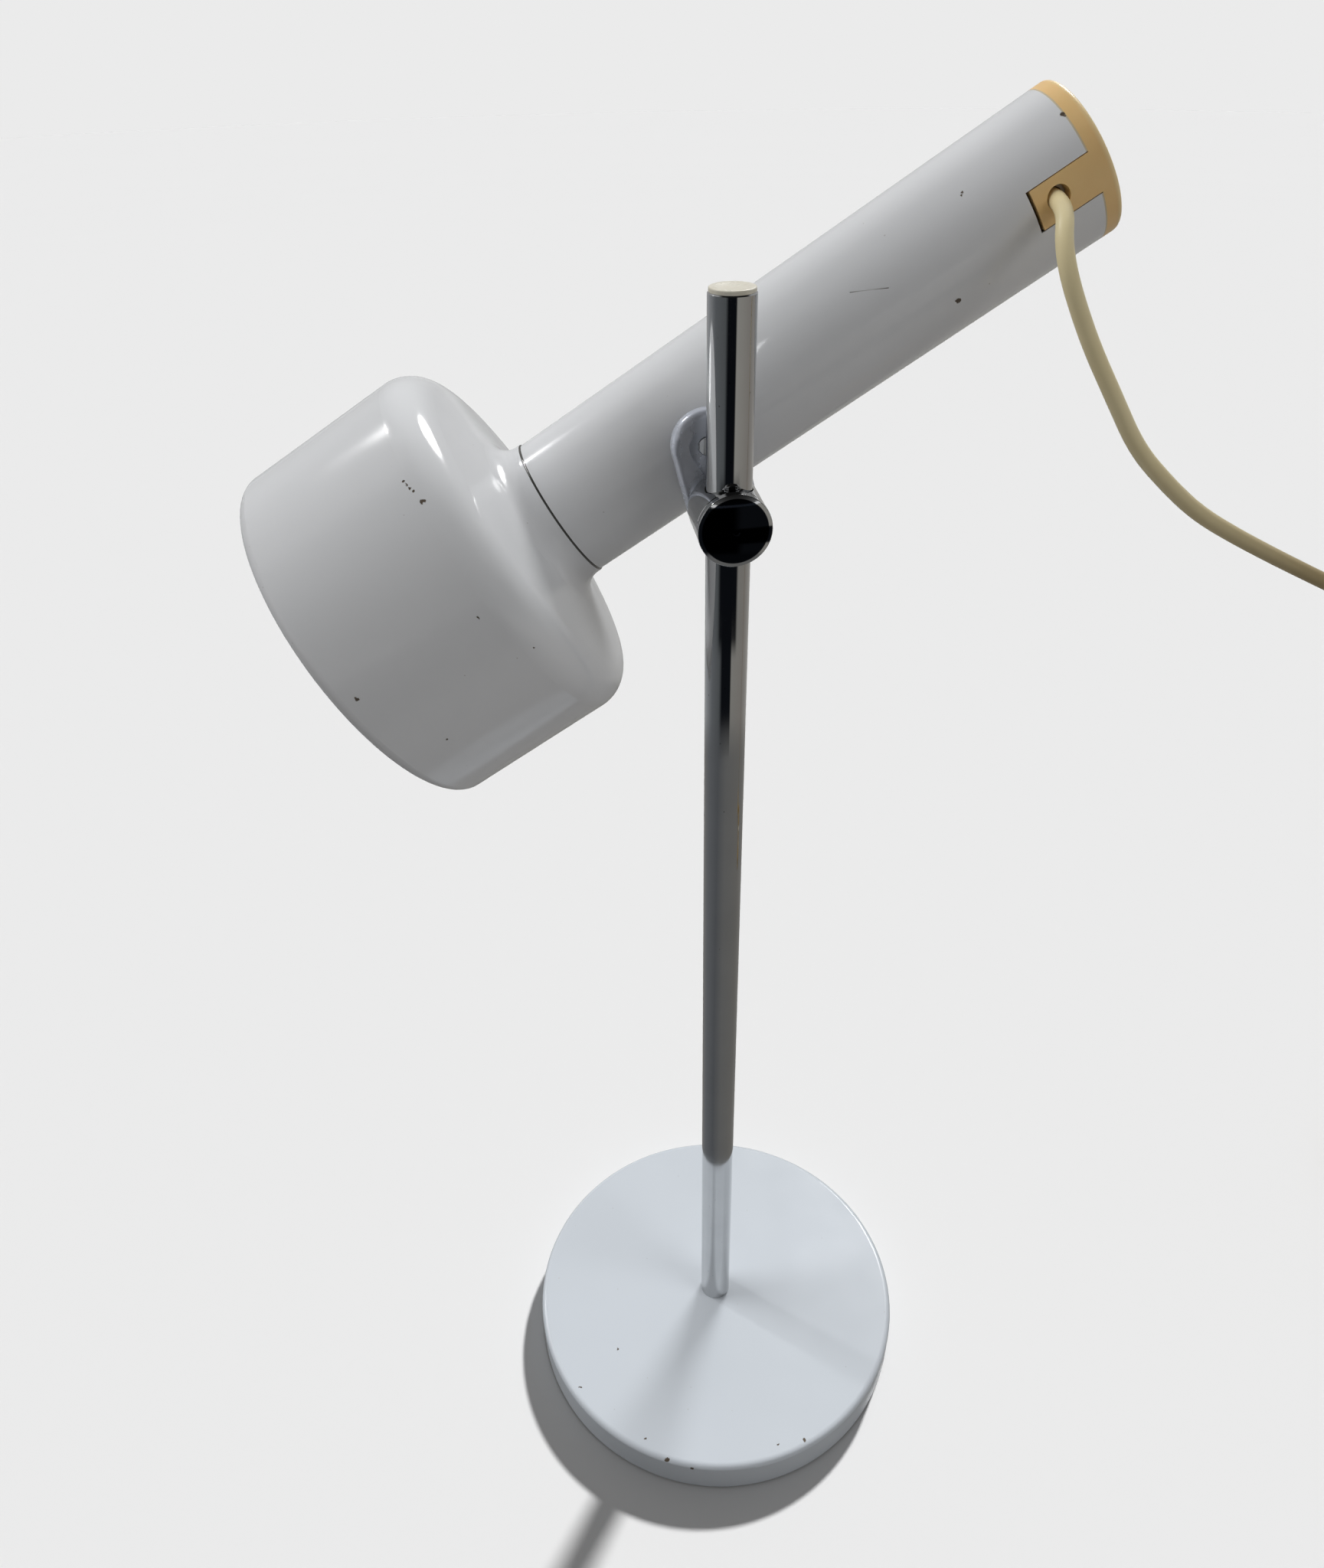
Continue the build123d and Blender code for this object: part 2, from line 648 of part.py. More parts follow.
def switch_pieces():
    button_back = cap_inside - button_inside
    well_floor = button_back - button_travel - stem_headroom
    stem_end = button_back - stem_length
    flange_front = cap_inside - switch_flange
    flange = Box(switch_flange, switch_flange_width, 2 * switch_flange_half)
    flange = fillet(flange.edges().filter_by(Axis.X), switch_flange_width / 2 - button_edge)
    body = bar_x(switch_radius, switch_back, cap_inside)
    body += Pos(cap_inside - switch_flange / 2, 0, 0) * flange
    body -= bar_x(button_radius + button_gap, well_floor, cap_inside)
    body -= bar_x(stem_radius + running_gap, stem_end - button_travel - stem_headroom, well_floor)
    button = bar_x(button_radius, button_back, tube_behind + cap_rim + button_proud)
    button = fillet(button.edges().group_by(Axis.X)[-1], button_edge)
    button += bar_x(stem_radius, stem_end, button_back)
    screw = bar_x(switch_screw_head_radius, flange_front - switch_screw_head, flange_front)
    screw = fillet(screw.edges().group_by(Axis.X)[0], switch_screw_head / 3)
    slot = Box(switch_screw_head, switch_screw_slot, 3 * switch_screw_head_radius)
    screw -= Pos(flange_front - switch_screw_head, 0, 0) * slot
    screw += bar_x(switch_screw_radius, flange_front, cap_inside + switch_screw_grip)
    screws = []
    for side in (1, -1):
        hole = bar_x(switch_screw_radius + press_gap, flange_front, cap_inside)
        body -= Pos(0, 0, side * switch_screw_spread) * hole
        screws.append(head_place * Pos(0, 0, side * switch_screw_spread) * screw)
    return {
        "switch_body": head_place * body,
        "switch_button": head_place * button,
        "switch_screws": Compound(children=screws),
    }


def swept(path, radius):
    """A round bar along a path."""
    return sweep(Plane(path @ 0, z_dir=path % 0) * Circle(radius), path=path)


def wire_pieces():
    """The three wires in the head, drawn round the tube's axis."""
    side = 1.1 * core_radius
    bend = 2.4 * core_radius
    angle = math.radians(tongue_angle)
    neutral = FilletPolyline(
        (cord_hole_at - side, -cord_end * math.cos(angle), cord_end * math.sin(angle)),
        (cord_hole_at - side, -neutral_height * math.cos(angle), neutral_height * math.sin(angle)),
        (switch_back - neutral_past_switch, -neutral_height, 0),
        (holder_back + wire_bend_far, -neutral_height, wire_spread),
        (holder_back + wire_bend_near, 0, wire_spread),
        (holder_back - wire_into_holder, 0, wire_spread),
        radius=[1.2 * core_radius, bend, bend, bend],
    )
    live = cord_bar(core_radius, switch_radius, cord_end)
    live = Pos(side, 0, 0) * live
    switched = FilletPolyline(
        (switch_back, switched_offset, -switched_offset),
        (switch_back - switched_run, switched_offset, -switched_offset),
        (holder_back + wire_bend_far, switched_offset, -wire_spread),
        (holder_back + wire_bend_near, 0, -wire_spread),
        (holder_back - wire_into_holder, 0, -wire_spread),
        radius=bend,
    )
    return {
        "neutral_wire": head_place * swept(neutral, core_radius),
        "live_wire": head_place * live,
        "switched_wire": head_place * swept(switched, core_radius),
    }


def bend_radii(points, share=0.45):
    """For each corner, a share of its shorter run over the tangent of half its turn."""
    radii = []
    for before, corner, after in zip(points[:-2], points[1:-1], points[2:]):
        arriving = corner - before
        leaving = after - corner
        half_turn = math.radians(arriving.get_angle(leaving)) / 2
        radii.append(share * min(arriving.length, leaving.length) / math.tan(half_turn))
    return radii


def least_gap(path, diameter):
    """The least gap between stretches of a path that lie more than three diameters apart along it."""
    step = diameter / 5
    count = int(path.length / step)
    points = [tuple(path @ (n / count)) for n in range(count + 1)]
    skip = int(3 * diameter / step)
    least = path.length
    for n, point in enumerate(points):
        for other in points[n + skip :]:
            least = min(least, math.dist(point, other))
    return least - diameter


def lead_path():
    """The cord from inside the cap, out of its hole and down to the table beside the coil."""
    angle = math.radians(tongue_angle)
    points = []
    for out in (cord_end, tube_radius + cord_straight_out):
        spot = head_place * Pos(cord_hole_at, -out * math.cos(angle), out * math.sin(angle))
        points.append(spot.position)
    points += [Vector(*corner) for corner in lead_route]
    points.append(Vector(coil_start[0], coil_start[1] - lead_landing, coil_low))
    points.append(Vector(*coil_start, coil_low))
    radii = bend_radii(points)
    print("lead bends", [round(radius, 1) for radius in radii])
    return FilletPolyline(*points, radius=radii)


def coil_path():
    """Two flat spirals of half turns, one over the other, then the run to the plug."""
    step = turn_pitch / 2
    outer = coil_inner_radius + (coil_half_turns - 1) * step
    middle = coil_start[0] + outer
    last = 2 * coil_half_turns + 1
    ends = []
    for n in range(last + 1):
        inward = 2 * step * (min(n, last - n) // 2)
        reach = outer - inward
        height = coil_low if n <= coil_half_turns else coil_high
        ends.append(Vector(middle + (reach if n % 2 else -reach), coil_start[1], height))
    edges = []
    for n, (start, end) in enumerate(zip(ends[:-1], ends[1:])):
        top = (start + end) * 0.5 + Vector(0, (end - start).length / 2 * (-1 if n % 2 else 1), 0)
        edges.append(ThreePointArc(start, top, end))
    x, y, z = ends[-1]
    tip = y - plug_run
    drop_end = (tip + y - tail_drop) / 2
    tail = FilletPolyline(
        (x, y, z),
        (x, drop_end + tail_drop, z),
        (x, drop_end, plug_height / 2),
        (x, tip - cord_in_plug, plug_height / 2),
        radius=tail_bend,
    )
    return Wire([edge.edge() for edge in edges] + list(tail.edges())), Vector(x, tip, plug_height / 2)


def cord_pieces():
    radius = cord_diameter / 2
    lead = lead_path()
    coil, plug_tip = coil_path()
    print("cord lengths", round(lead.length), round(coil.length), round(lead.length + coil.length))
    print("least gap in the coil", round(least_gap(coil, cord_diameter), 2))
    outer = coil_inner_radius + (coil_half_turns - 1) * turn_pitch / 2
    inner = outer - coil_half_turns * turn_pitch / 2
    depth = outer - inner + cord_diameter + 2 * tie_gap
    height = coil_high - coil_low + cord_diameter + 2 * tie_gap
    hole = RectangleRounded(depth, height, tie_corner)
    band = RectangleRounded(depth + 2 * tie_thickness, height + 2 * tie_thickness, tie_corner + tie_thickness)
    tie = Rot(0, 0, 90) * Rot(90, 0, 0) * extrude(band - hole, tie_width / 2, both=True)
    tie_y = coil_start[1] + (outer + inner) / 2
    tie = Pos(coil_start[0] + outer, tie_y, (coil_low + coil_high) / 2) * tie
    return {"cord_lead": swept(lead, radius), "cord_coil": swept(coil, radius), "coil_tie": tie}, plug_tip


def plug_pieces(tip):
    """The plug at the cord's end, its strain relief's tip at that point and its pins towards -Y."""
    body_back = -relief_length
    body_front = body_back - plug_length
    outline = RectangleRounded(plug_width, plug_length, plug_corner)
    body = Pos(0, (body_back + body_front) / 2, 0) * extrude(outline, plug_height / 2, both=True)
    body = fillet(body.edges().group_by(Axis.Z)[0] + body.edges().group_by(Axis.Z)[-1], plug_rounding)
    relief = turned([(0, 0), (relief_tip_radius, 0), (relief_root_radius, body_back), (0, body_back)], Axis.Y)
    for n in range(1, 5):
        middle = -relief_length * n / 5
        groove = bar_y(2 * relief_root_radius, middle - relief_rib / 2, middle + relief_rib / 2)
        relief -= groove - bar_y(relief_tip_radius - relief_groove, -relief_length, 0)
    body = body + relief - bar_y(cord_diameter / 2 + press_gap, -cord_in_plug, 0)
    core = bar_y(pin_radius - sleeve_wall, body_front - sleeve_length, body_front + pin_inside)
    pin = bar_y(pin_radius, body_front - pin_length, body_front - sleeve_length)
    pin = fillet(pin.edges().group_by(Axis.Y)[0], pin_round) + core
    hole = bar_y(pin_radius - sleeve_wall + press_gap, body_front - sleeve_length, body_front + pin_inside)
    sleeve = bar_y(pin_radius, body_front - sleeve_length, body_front) - hole
    pins = []
    sleeves = []
    for side in (1, -1):
        spot = Pos(side * pin_spacing / 2, 0, 0)
        body -= spot * hole
        pins.append(Pos(*tip) * spot * pin)
        sleeves.append(Pos(*tip) * spot * sleeve)
    return {
        "plug_body": Pos(*tip) * body,
        "plug_pins": Compound(children=pins),
        "pin_sleeves": Compound(children=sleeves),
    }


pieces = {}
for make in (
    base_pieces,
    rod_pieces,
    clamp_pieces,
    knob_pieces,
    arm_pieces,
    saddle_pieces,
    tube_pieces,
    shade_pieces,
    holder_pieces,
    bulb_pieces,
    rear_cap_pieces,
    switch_pieces,
    wire_pieces,
):
    pieces.update(make())
cord, plug_tip = cord_pieces()
pieces.update(cord)
pieces.update(plug_pieces(plug_tip))

for name, piece in pieces.items():
    export_step(piece, f"parts/{name}.step")
print(len(pieces), "nodes")
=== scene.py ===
import json
import math

import bmesh
import bpy
from mathutils import Matrix, Vector, noise


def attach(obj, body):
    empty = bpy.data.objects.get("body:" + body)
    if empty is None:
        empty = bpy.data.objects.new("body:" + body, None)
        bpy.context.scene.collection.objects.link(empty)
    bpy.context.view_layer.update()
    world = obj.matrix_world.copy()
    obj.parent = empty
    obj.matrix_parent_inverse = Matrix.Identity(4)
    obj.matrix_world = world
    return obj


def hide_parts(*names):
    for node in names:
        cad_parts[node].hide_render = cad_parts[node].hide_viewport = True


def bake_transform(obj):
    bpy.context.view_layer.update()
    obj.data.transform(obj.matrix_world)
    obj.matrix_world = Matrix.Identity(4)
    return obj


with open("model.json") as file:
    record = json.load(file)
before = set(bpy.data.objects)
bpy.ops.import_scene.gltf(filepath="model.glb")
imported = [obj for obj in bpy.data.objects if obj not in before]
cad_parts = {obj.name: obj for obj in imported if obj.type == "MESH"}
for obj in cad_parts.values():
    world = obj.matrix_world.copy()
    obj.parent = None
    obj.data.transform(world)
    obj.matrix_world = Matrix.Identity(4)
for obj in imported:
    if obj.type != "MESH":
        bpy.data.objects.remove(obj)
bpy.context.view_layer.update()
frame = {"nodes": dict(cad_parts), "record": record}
nodes = frame["nodes"]
print("stage: frame loaded,", len(nodes), "nodes")

# the head's own frame, its rear end up
headFrame = {"pivot": (-0.0047251, 0.039, 0.4449032), "tilt": math.radians(31.5)}


# sRGB hex to the linear values that sockets take
def linear(hexColour):
    channels = [int(hexColour[i:i + 2], 16) / 255 for i in (0, 2, 4)]
    return [c / 12.92 if c <= 0.04045 else ((c + 0.055) / 1.055) ** 2.4 for c in channels] + [1.0]


# adds a node with its settings, its socket values and its links, by socket name or number
def addNode(tree, kind, values=None, links=None, **settings):
    node = tree.nodes.new(kind)
    for name, value in settings.items():
        setattr(node, name, value)
    for socket, value in (values or {}).items():
        node.inputs[socket].default_value = value
    for socket, source in (links or {}).items():
        tree.links.new(source, node.inputs[socket])
    return node


def startFinish(name):
    material = bpy.data.materials.new(name)
    material.use_nodes = True
    tree = material.node_tree
    tree.nodes.clear()
    shader = addNode(tree, "ShaderNodeBsdfPrincipled")
    addNode(tree, "ShaderNodeOutputMaterial", links={"Surface": shader.outputs["BSDF"]})
    place = addNode(tree, "ShaderNodeTexCoord").outputs["Object"]
    return material, tree, shader, place


def newPiece(name, mesh):
    piece = bpy.data.objects.new(name, mesh)
    bpy.context.scene.collection.objects.link(piece)
    return piece


# the camera and the studio

photoView = {
    "place": (-0.06149, -0.32763, 0.55886),
    "right": (0.99127, -0.13085, -0.01635),
    "up": (0.08792, 0.56341, 0.82148),
    "back": (-0.09828, -0.81575, 0.57),
    "lens": 26.328,         # the sensor's long side is the frame's height
    "sensor": 36.0,
}

studio = {
    "pale": "EBEBEB",
    "under": "8C8A88",      # the floor as the lamp's own undersides see it
    "ambient": 0.21,        # share of the light that comes from all round
    "dusk": (0.10, -0.62, 0.78),    # where polished metal sees the room's dark side
    "duskEdge": (0.38, 0.66),       # cosines of the angles from its middle where it begins and is full
    "duskLevel": 0.012,
    "glossyLift": 1.9,      # polished metal sees the room's bright side that much brighter
    "floorRadius": 7.0,
    "floorSides": 128,
    # name, compass angle from +X, degrees above the floor, spread, share of the light, what it falls on
    "windows": (
        ("windowFloor", 54, 39.5, 4, 0.79, "floor"),
        ("windowKey", 58, 42, 18, 0.34, "lamp"),
        ("windowLeft", 160, 45, 36, 0.30, "lamp"),
        ("windowFront", -36, 40, 30, 0.13, "lamp"),
        ("windowSpark", 140, 38, 3, 0.06, "lamp"),
    ),
    "mirrored": ("windowKey", "windowSpark"),   # those that show as highlights
}

# what polished metal sees round the lamp: tones by the share of a turn from +X, in four rings
surround = {
    "inner": 0.089,
    "outer": 5.0,
    "height": 0.0005,
    "steps": 96,
    "near": (
        (0.0, "75736F"), (0.25, "8A8885"), (0.45, "6C6E71"), (0.62, "5C5E61"), (0.75, "6E6E6D"),
        (1.0, "75736F"),
    ),
    "middle": (
        (0.0, "8B8680"), (0.16, "A8A6A2"), (0.34, "A2A4A6"), (0.5, "6C6F72"), (0.62, "595C5E"),
        (0.66, "111317"), (0.785, "111317"), (0.80, "8F8D88"), (1.0, "8B8680"),
    ),
    "wide": (
        (0.0, "8B8680"), (0.16, "A8A6A2"), (0.34, "A2A4A6"), (0.5, "6C6F72"), (0.58, "595C5E"),
        (0.62, "0F1115"), (0.85, "0F1115"), (0.88, "8A8883"), (1.0, "8B8680"),
    ),
    "far": (
        (0.0, "8B8680"), (0.16, "A8A6A2"), (0.34, "A2A4A6"), (0.5, "66696C"), (0.64, "595C5E"),
        (0.675, "0F1115"), (0.775, "0F1115"), (0.79, "9B9993"), (1.0, "8B8680"),
    ),
    # metres from the origin where each ring fades into the next
    "middleFrom": (0.52, 0.60),
    "wideFrom": (0.70, 0.76),
    "farFrom": (1.15, 1.25),
}


def makeCamera(settings):
    data = bpy.data.cameras.new("photoView")
    data.sensor_width = settings["sensor"]
    data.lens = settings["lens"]
    data.clip_start = 0.01
    camera = newPiece("photoView", data)
    turn = Matrix([settings[key] for key in ("right", "up", "back")]).transposed().to_4x4()
    camera.matrix_world = Matrix.Translation(settings["place"]) @ turn
    bpy.context.scene.camera = camera


def makeWorld(settings):
    world = bpy.data.worlds.new("paleStudio")
    bpy.context.scene.world = world
    world.use_nodes = True
    tree = world.node_tree
    tree.nodes.clear()
    path = addNode(tree, "ShaderNodeLightPath")
    toward = addNode(tree, "ShaderNodeTexCoord").outputs["Generated"]
    facing = addNode(
        tree, "ShaderNodeVectorMath", {1: Vector(settings["dusk"]).normalized()}, {0: toward},
        operation="DOT_PRODUCT",
    )
    dusk = addNode(
        tree, "ShaderNodeMapRange",
        {
            "From Min": settings["duskEdge"][0], "From Max": settings["duskEdge"][1],
            "To Min": settings["ambient"] * settings["glossyLift"], "To Max": settings["duskLevel"],
        },
        {"Value": facing.outputs["Value"]}, interpolation_type="SMOOTHSTEP",
    )
    level = addNode(
        tree, "ShaderNodeMix", {2: settings["ambient"]},
        {0: path.outputs["Is Glossy Ray"], 3: dusk.outputs[0]},
    )
    room = addNode(tree, "ShaderNodeBackground", {"Color": (1, 1, 1, 1)}, {"Strength": level.outputs[0]})
    backdrop = addNode(tree, "ShaderNodeBackground", {"Color": linear(settings["pale"]), "Strength": 1.0})
    seen = addNode(
        tree, "ShaderNodeMixShader",
        links={0: path.outputs["Is Camera Ray"], 1: room.outputs[0], 2: backdrop.outputs[0]},
    )
    addNode(tree, "ShaderNodeOutputWorld", links={"Surface": seen.outputs[0]})


def makeWindows(settings, floor):
    for name, compass, height, spread, share, falls in settings["windows"]:
        data = bpy.data.lights.new(name, "SUN")
        rise, turn = math.radians(height), math.radians(compass)
        data.energy = share * math.pi / math.sin(rise)
        data.angle = math.radians(spread)
        light = newPiece(name, data)
        light.rotation_mode = "QUATERNION"
        toward = Vector((math.cos(turn) * math.cos(rise), math.sin(turn) * math.cos(rise), math.sin(rise)))
        light.rotation_quaternion = toward.to_track_quat("Z", "Y")
        light.visible_glossy = name in settings["mirrored"]
        reach = bpy.data.collections.new(name + "Reach")
        reach.objects.link(floor)
        light.light_linking.receiver_collection = reach
        reach.collection_objects[0].light_linking.link_state = "INCLUDE" if falls == "floor" else "EXCLUDE"


def makeFloor(settings):
    mesh = bpy.data.meshes.new("paperFloor")
    shape = bmesh.new()
    bmesh.ops.create_circle(
        shape, cap_ends=True, segments=settings["floorSides"], radius=settings["floorRadius"]
    )
    shape.to_mesh(mesh)
    shape.free()
    floor = newPiece("paperFloor", mesh)
    material, tree, shader, place = startFinish("palePaper")
    path = addNode(tree, "ShaderNodeLightPath")
    tone = addNode(
        tree, "ShaderNodeMix", {6: linear(settings["pale"]), 7: linear(settings["under"])},
        {0: path.outputs["Is Diffuse Ray"]}, data_type="RGBA",
    )
    tree.links.new(tone.outputs[2], shader.inputs["Base Color"])
    shader.inputs["Roughness"].default_value = 1.0
    shader.inputs["Specular IOR Level"].default_value = 0.0
    mesh.materials.append(material)
    return floor


# a flat ring that only reflections see, so that the metal isn't all white
def makeSurround(settings):
    mesh = bpy.data.meshes.new("roomRing")
    steps = settings["steps"]
    corners = []
    for n in range(steps):
        angle = 2 * math.pi * n / steps
        for radius in (settings["inner"], settings["outer"]):
            corners.append((radius * math.cos(angle), radius * math.sin(angle), settings["height"]))
    faces = [(2 * n, 2 * n + 1, (2 * n + 3) % (2 * steps), (2 * n + 2) % (2 * steps)) for n in range(steps)]
    mesh.from_pydata(corners, [], faces)
    ring = newPiece("roomRing", mesh)
    material = bpy.data.materials.new("roomTones")
    material.use_nodes = True
    tree = material.node_tree
    tree.nodes.clear()
    place = addNode(tree, "ShaderNodeTexCoord").outputs["Object"]
    across = addNode(tree, "ShaderNodeSeparateXYZ", links={0: place})
    turn = addNode(
        tree, "ShaderNodeMath", links={0: across.outputs[1], 1: across.outputs[0]}, operation="ARCTAN2"
    )
    share = addNode(
        tree, "ShaderNodeMath", {1: 1 / (2 * math.pi)}, {0: turn.outputs[0]}, operation="MULTIPLY"
    )
    wrapped = addNode(tree, "ShaderNodeMath", {1: 1.0}, {0: share.outputs[0]}, operation="FLOORED_MODULO")
    tones = []
    for key in ("near", "middle", "wide", "far"):
        ramp = addNode(tree, "ShaderNodeValToRGB", links={"Fac": wrapped.outputs[0]})
        stops = ramp.color_ramp.elements
        for n, (at, colour) in enumerate(settings[key]):
            stop = stops[n] if n < 2 else stops.new(at)
            stop.position = at
            stop.color = linear(colour)
        tones.append(ramp.outputs["Color"])
    reach = addNode(tree, "ShaderNodeVectorMath", links={0: place}, operation="LENGTH")
    tone = tones[0]
    for key, colour in zip(("middleFrom", "wideFrom", "farFrom"), tones[1:]):
        farther = addNode(
            tree, "ShaderNodeMapRange", {"From Min": settings[key][0], "From Max": settings[key][1]},
            {"Value": reach.outputs["Value"]}, interpolation_type="SMOOTHSTEP",
        )
        tone = addNode(
            tree, "ShaderNodeMix", links={0: farther.outputs[0], 6: tone, 7: colour}, data_type="RGBA"
        ).outputs[2]
    glow = addNode(tree, "ShaderNodeEmission", links={"Color": tone})
    addNode(tree, "ShaderNodeOutputMaterial", links={"Surface": glow.outputs[0]})
    mesh.materials.append(material)
    ring.visible_camera = False
    ring.visible_diffuse = False
    ring.visible_shadow = False


makeCamera(photoView)
makeWorld(studio)
floor = makeFloor(studio)
makeWindows(studio, floor)
makeSurround(surround)
bpy.context.scene.view_settings.view_transform = "Standard"
print("stage: camera and studio")


# the finishes


# a skin of fine relief, from the size and depth of its grain in millimetres
def addRelief(tree, place, grain, detail):
    size, depth = grain
    relief = addNode(tree, "ShaderNodeTexNoise", {"Scale": 1000 / size, "Detail": detail}, {"Vector": place})
    skin = addNode(tree, "ShaderNodeBump", {"Distance": depth / 1000}, {"Height": relief.outputs[0]})
    return skin.outputs[0]


# metres along the head from its pivot, towards the rear end
def alongHead(tree, place):
    own = addNode(
        tree, "ShaderNodeMapping",
        {"Location": headFrame["pivot"], "Rotation": (0, -headFrame["tilt"], 0)}, {"Vector": place},
        vector_type="TEXTURE",
    )
    return addNode(tree, "ShaderNodeSeparateXYZ", links={0: own.outputs[0]}).outputs[0]


# places in millimetres, each with its radius, and scratches by their two ends
baseEnamel = {
    "name": "stoveEnamelBase",
    "tones": ("CDD3DA", "C6CCD2"),
    "cloud": 70,            # patches of tone, mm
    "peel": (2.4, 0.012),   # the orange peel, wide and deep, mm
    "gloss": (0.16, 0.26),  # roughness, clean and handled
    "chips": (
        (-52.1, -26.1, 18.0, 0.5), (-71.5, -42.0, 18.0, 0.45), (-43.9, -69.4, 18.0, 0.5),
        (-35.4, -79.4, 17.0, 1.05), (-24.7, -83.9, 15.8, 0.7), (15.1, -80.3, 18.0, 0.5),
        (27.4, -79.8, 17.9, 0.75),
    ),
    "scratches": (
        ((0.8, -84.6, 16.9), (4.4, -84.5, 16.9), 0.08), ((6.4, -84.5, 16.9), (8.6, -84.3, 16.9), 0.07),
    ),
    "seams": (),
}
headEnamel = {
    "name": "stoveEnamelHead",
    "tones": ("E4E5E7", "DCDEE0"),
    "cloud": 55,
    "peel": (2.2, 0.010),
    "gloss": (0.10, 0.20),
    "chips": (
        (-94.9, -2.5, 444.5, 0.6), (-93.9, -3.6, 443.9, 0.4), (-93.1, -4.9, 443.2, 0.55),
        (-92.0, -5.9, 442.5, 0.4), (-89.7, -8.5, 440.5, 0.75),
        (-77.2, -23.0, 410.1, 0.4), (-115.7, -23.3, 386.7, 0.5), (-91.4, -20.4, 368.2, 0.4),
        (-62.5, -22.6, 398.7, 0.4), (70.7, 16.9, 481.7, 0.9), (70.0, 21.8, 509.5, 0.45),
        (97.2, 23.7, 528.3, 0.8), (104.0, 18.2, 519.0, 0.35), (113.9, 19.6, 497.6, 0.35),
        (115.5, 23.8, 493.2, 0.3),
    ),
    "scratches": (((38.3, 18.7, 485.1), (49.1, 16.6, 486.3), 0.1),),
    # along the tube and half wide, mm, with its colour: a dark line at the shade's neck joint, dirt and
    # painted shade in its gap, and the worn rear edge
    "seams": ((-51.7, 0.32, "4A4946"), (130.8, 0.35, "CFC3A8")),
}

# what both enamels share; sizes in millimetres
enamelWear = {
    "ragged": (1.3, 2.2),       # the chips' outline: its grain, and how far apart it moves places
    "chipEdge": 0.08,
    "chipDepth": 0.12,
    "chipRoughness": 0.7,
    "primer": ("3A332C", "76695A"),
    "primerGrain": 0.6,
    "nibSpacing": 9,            # dust nibs under the coat
    "nibRadii": (0.035, 0.02),  # where a nib begins and is full, as shares of the spacing
    "nibShare": 0.35,
    "nibTone": "8E8B84",
    "handled": 28,              # patches dulled by handling
    "handledRange": (0.35, 0.7),
}


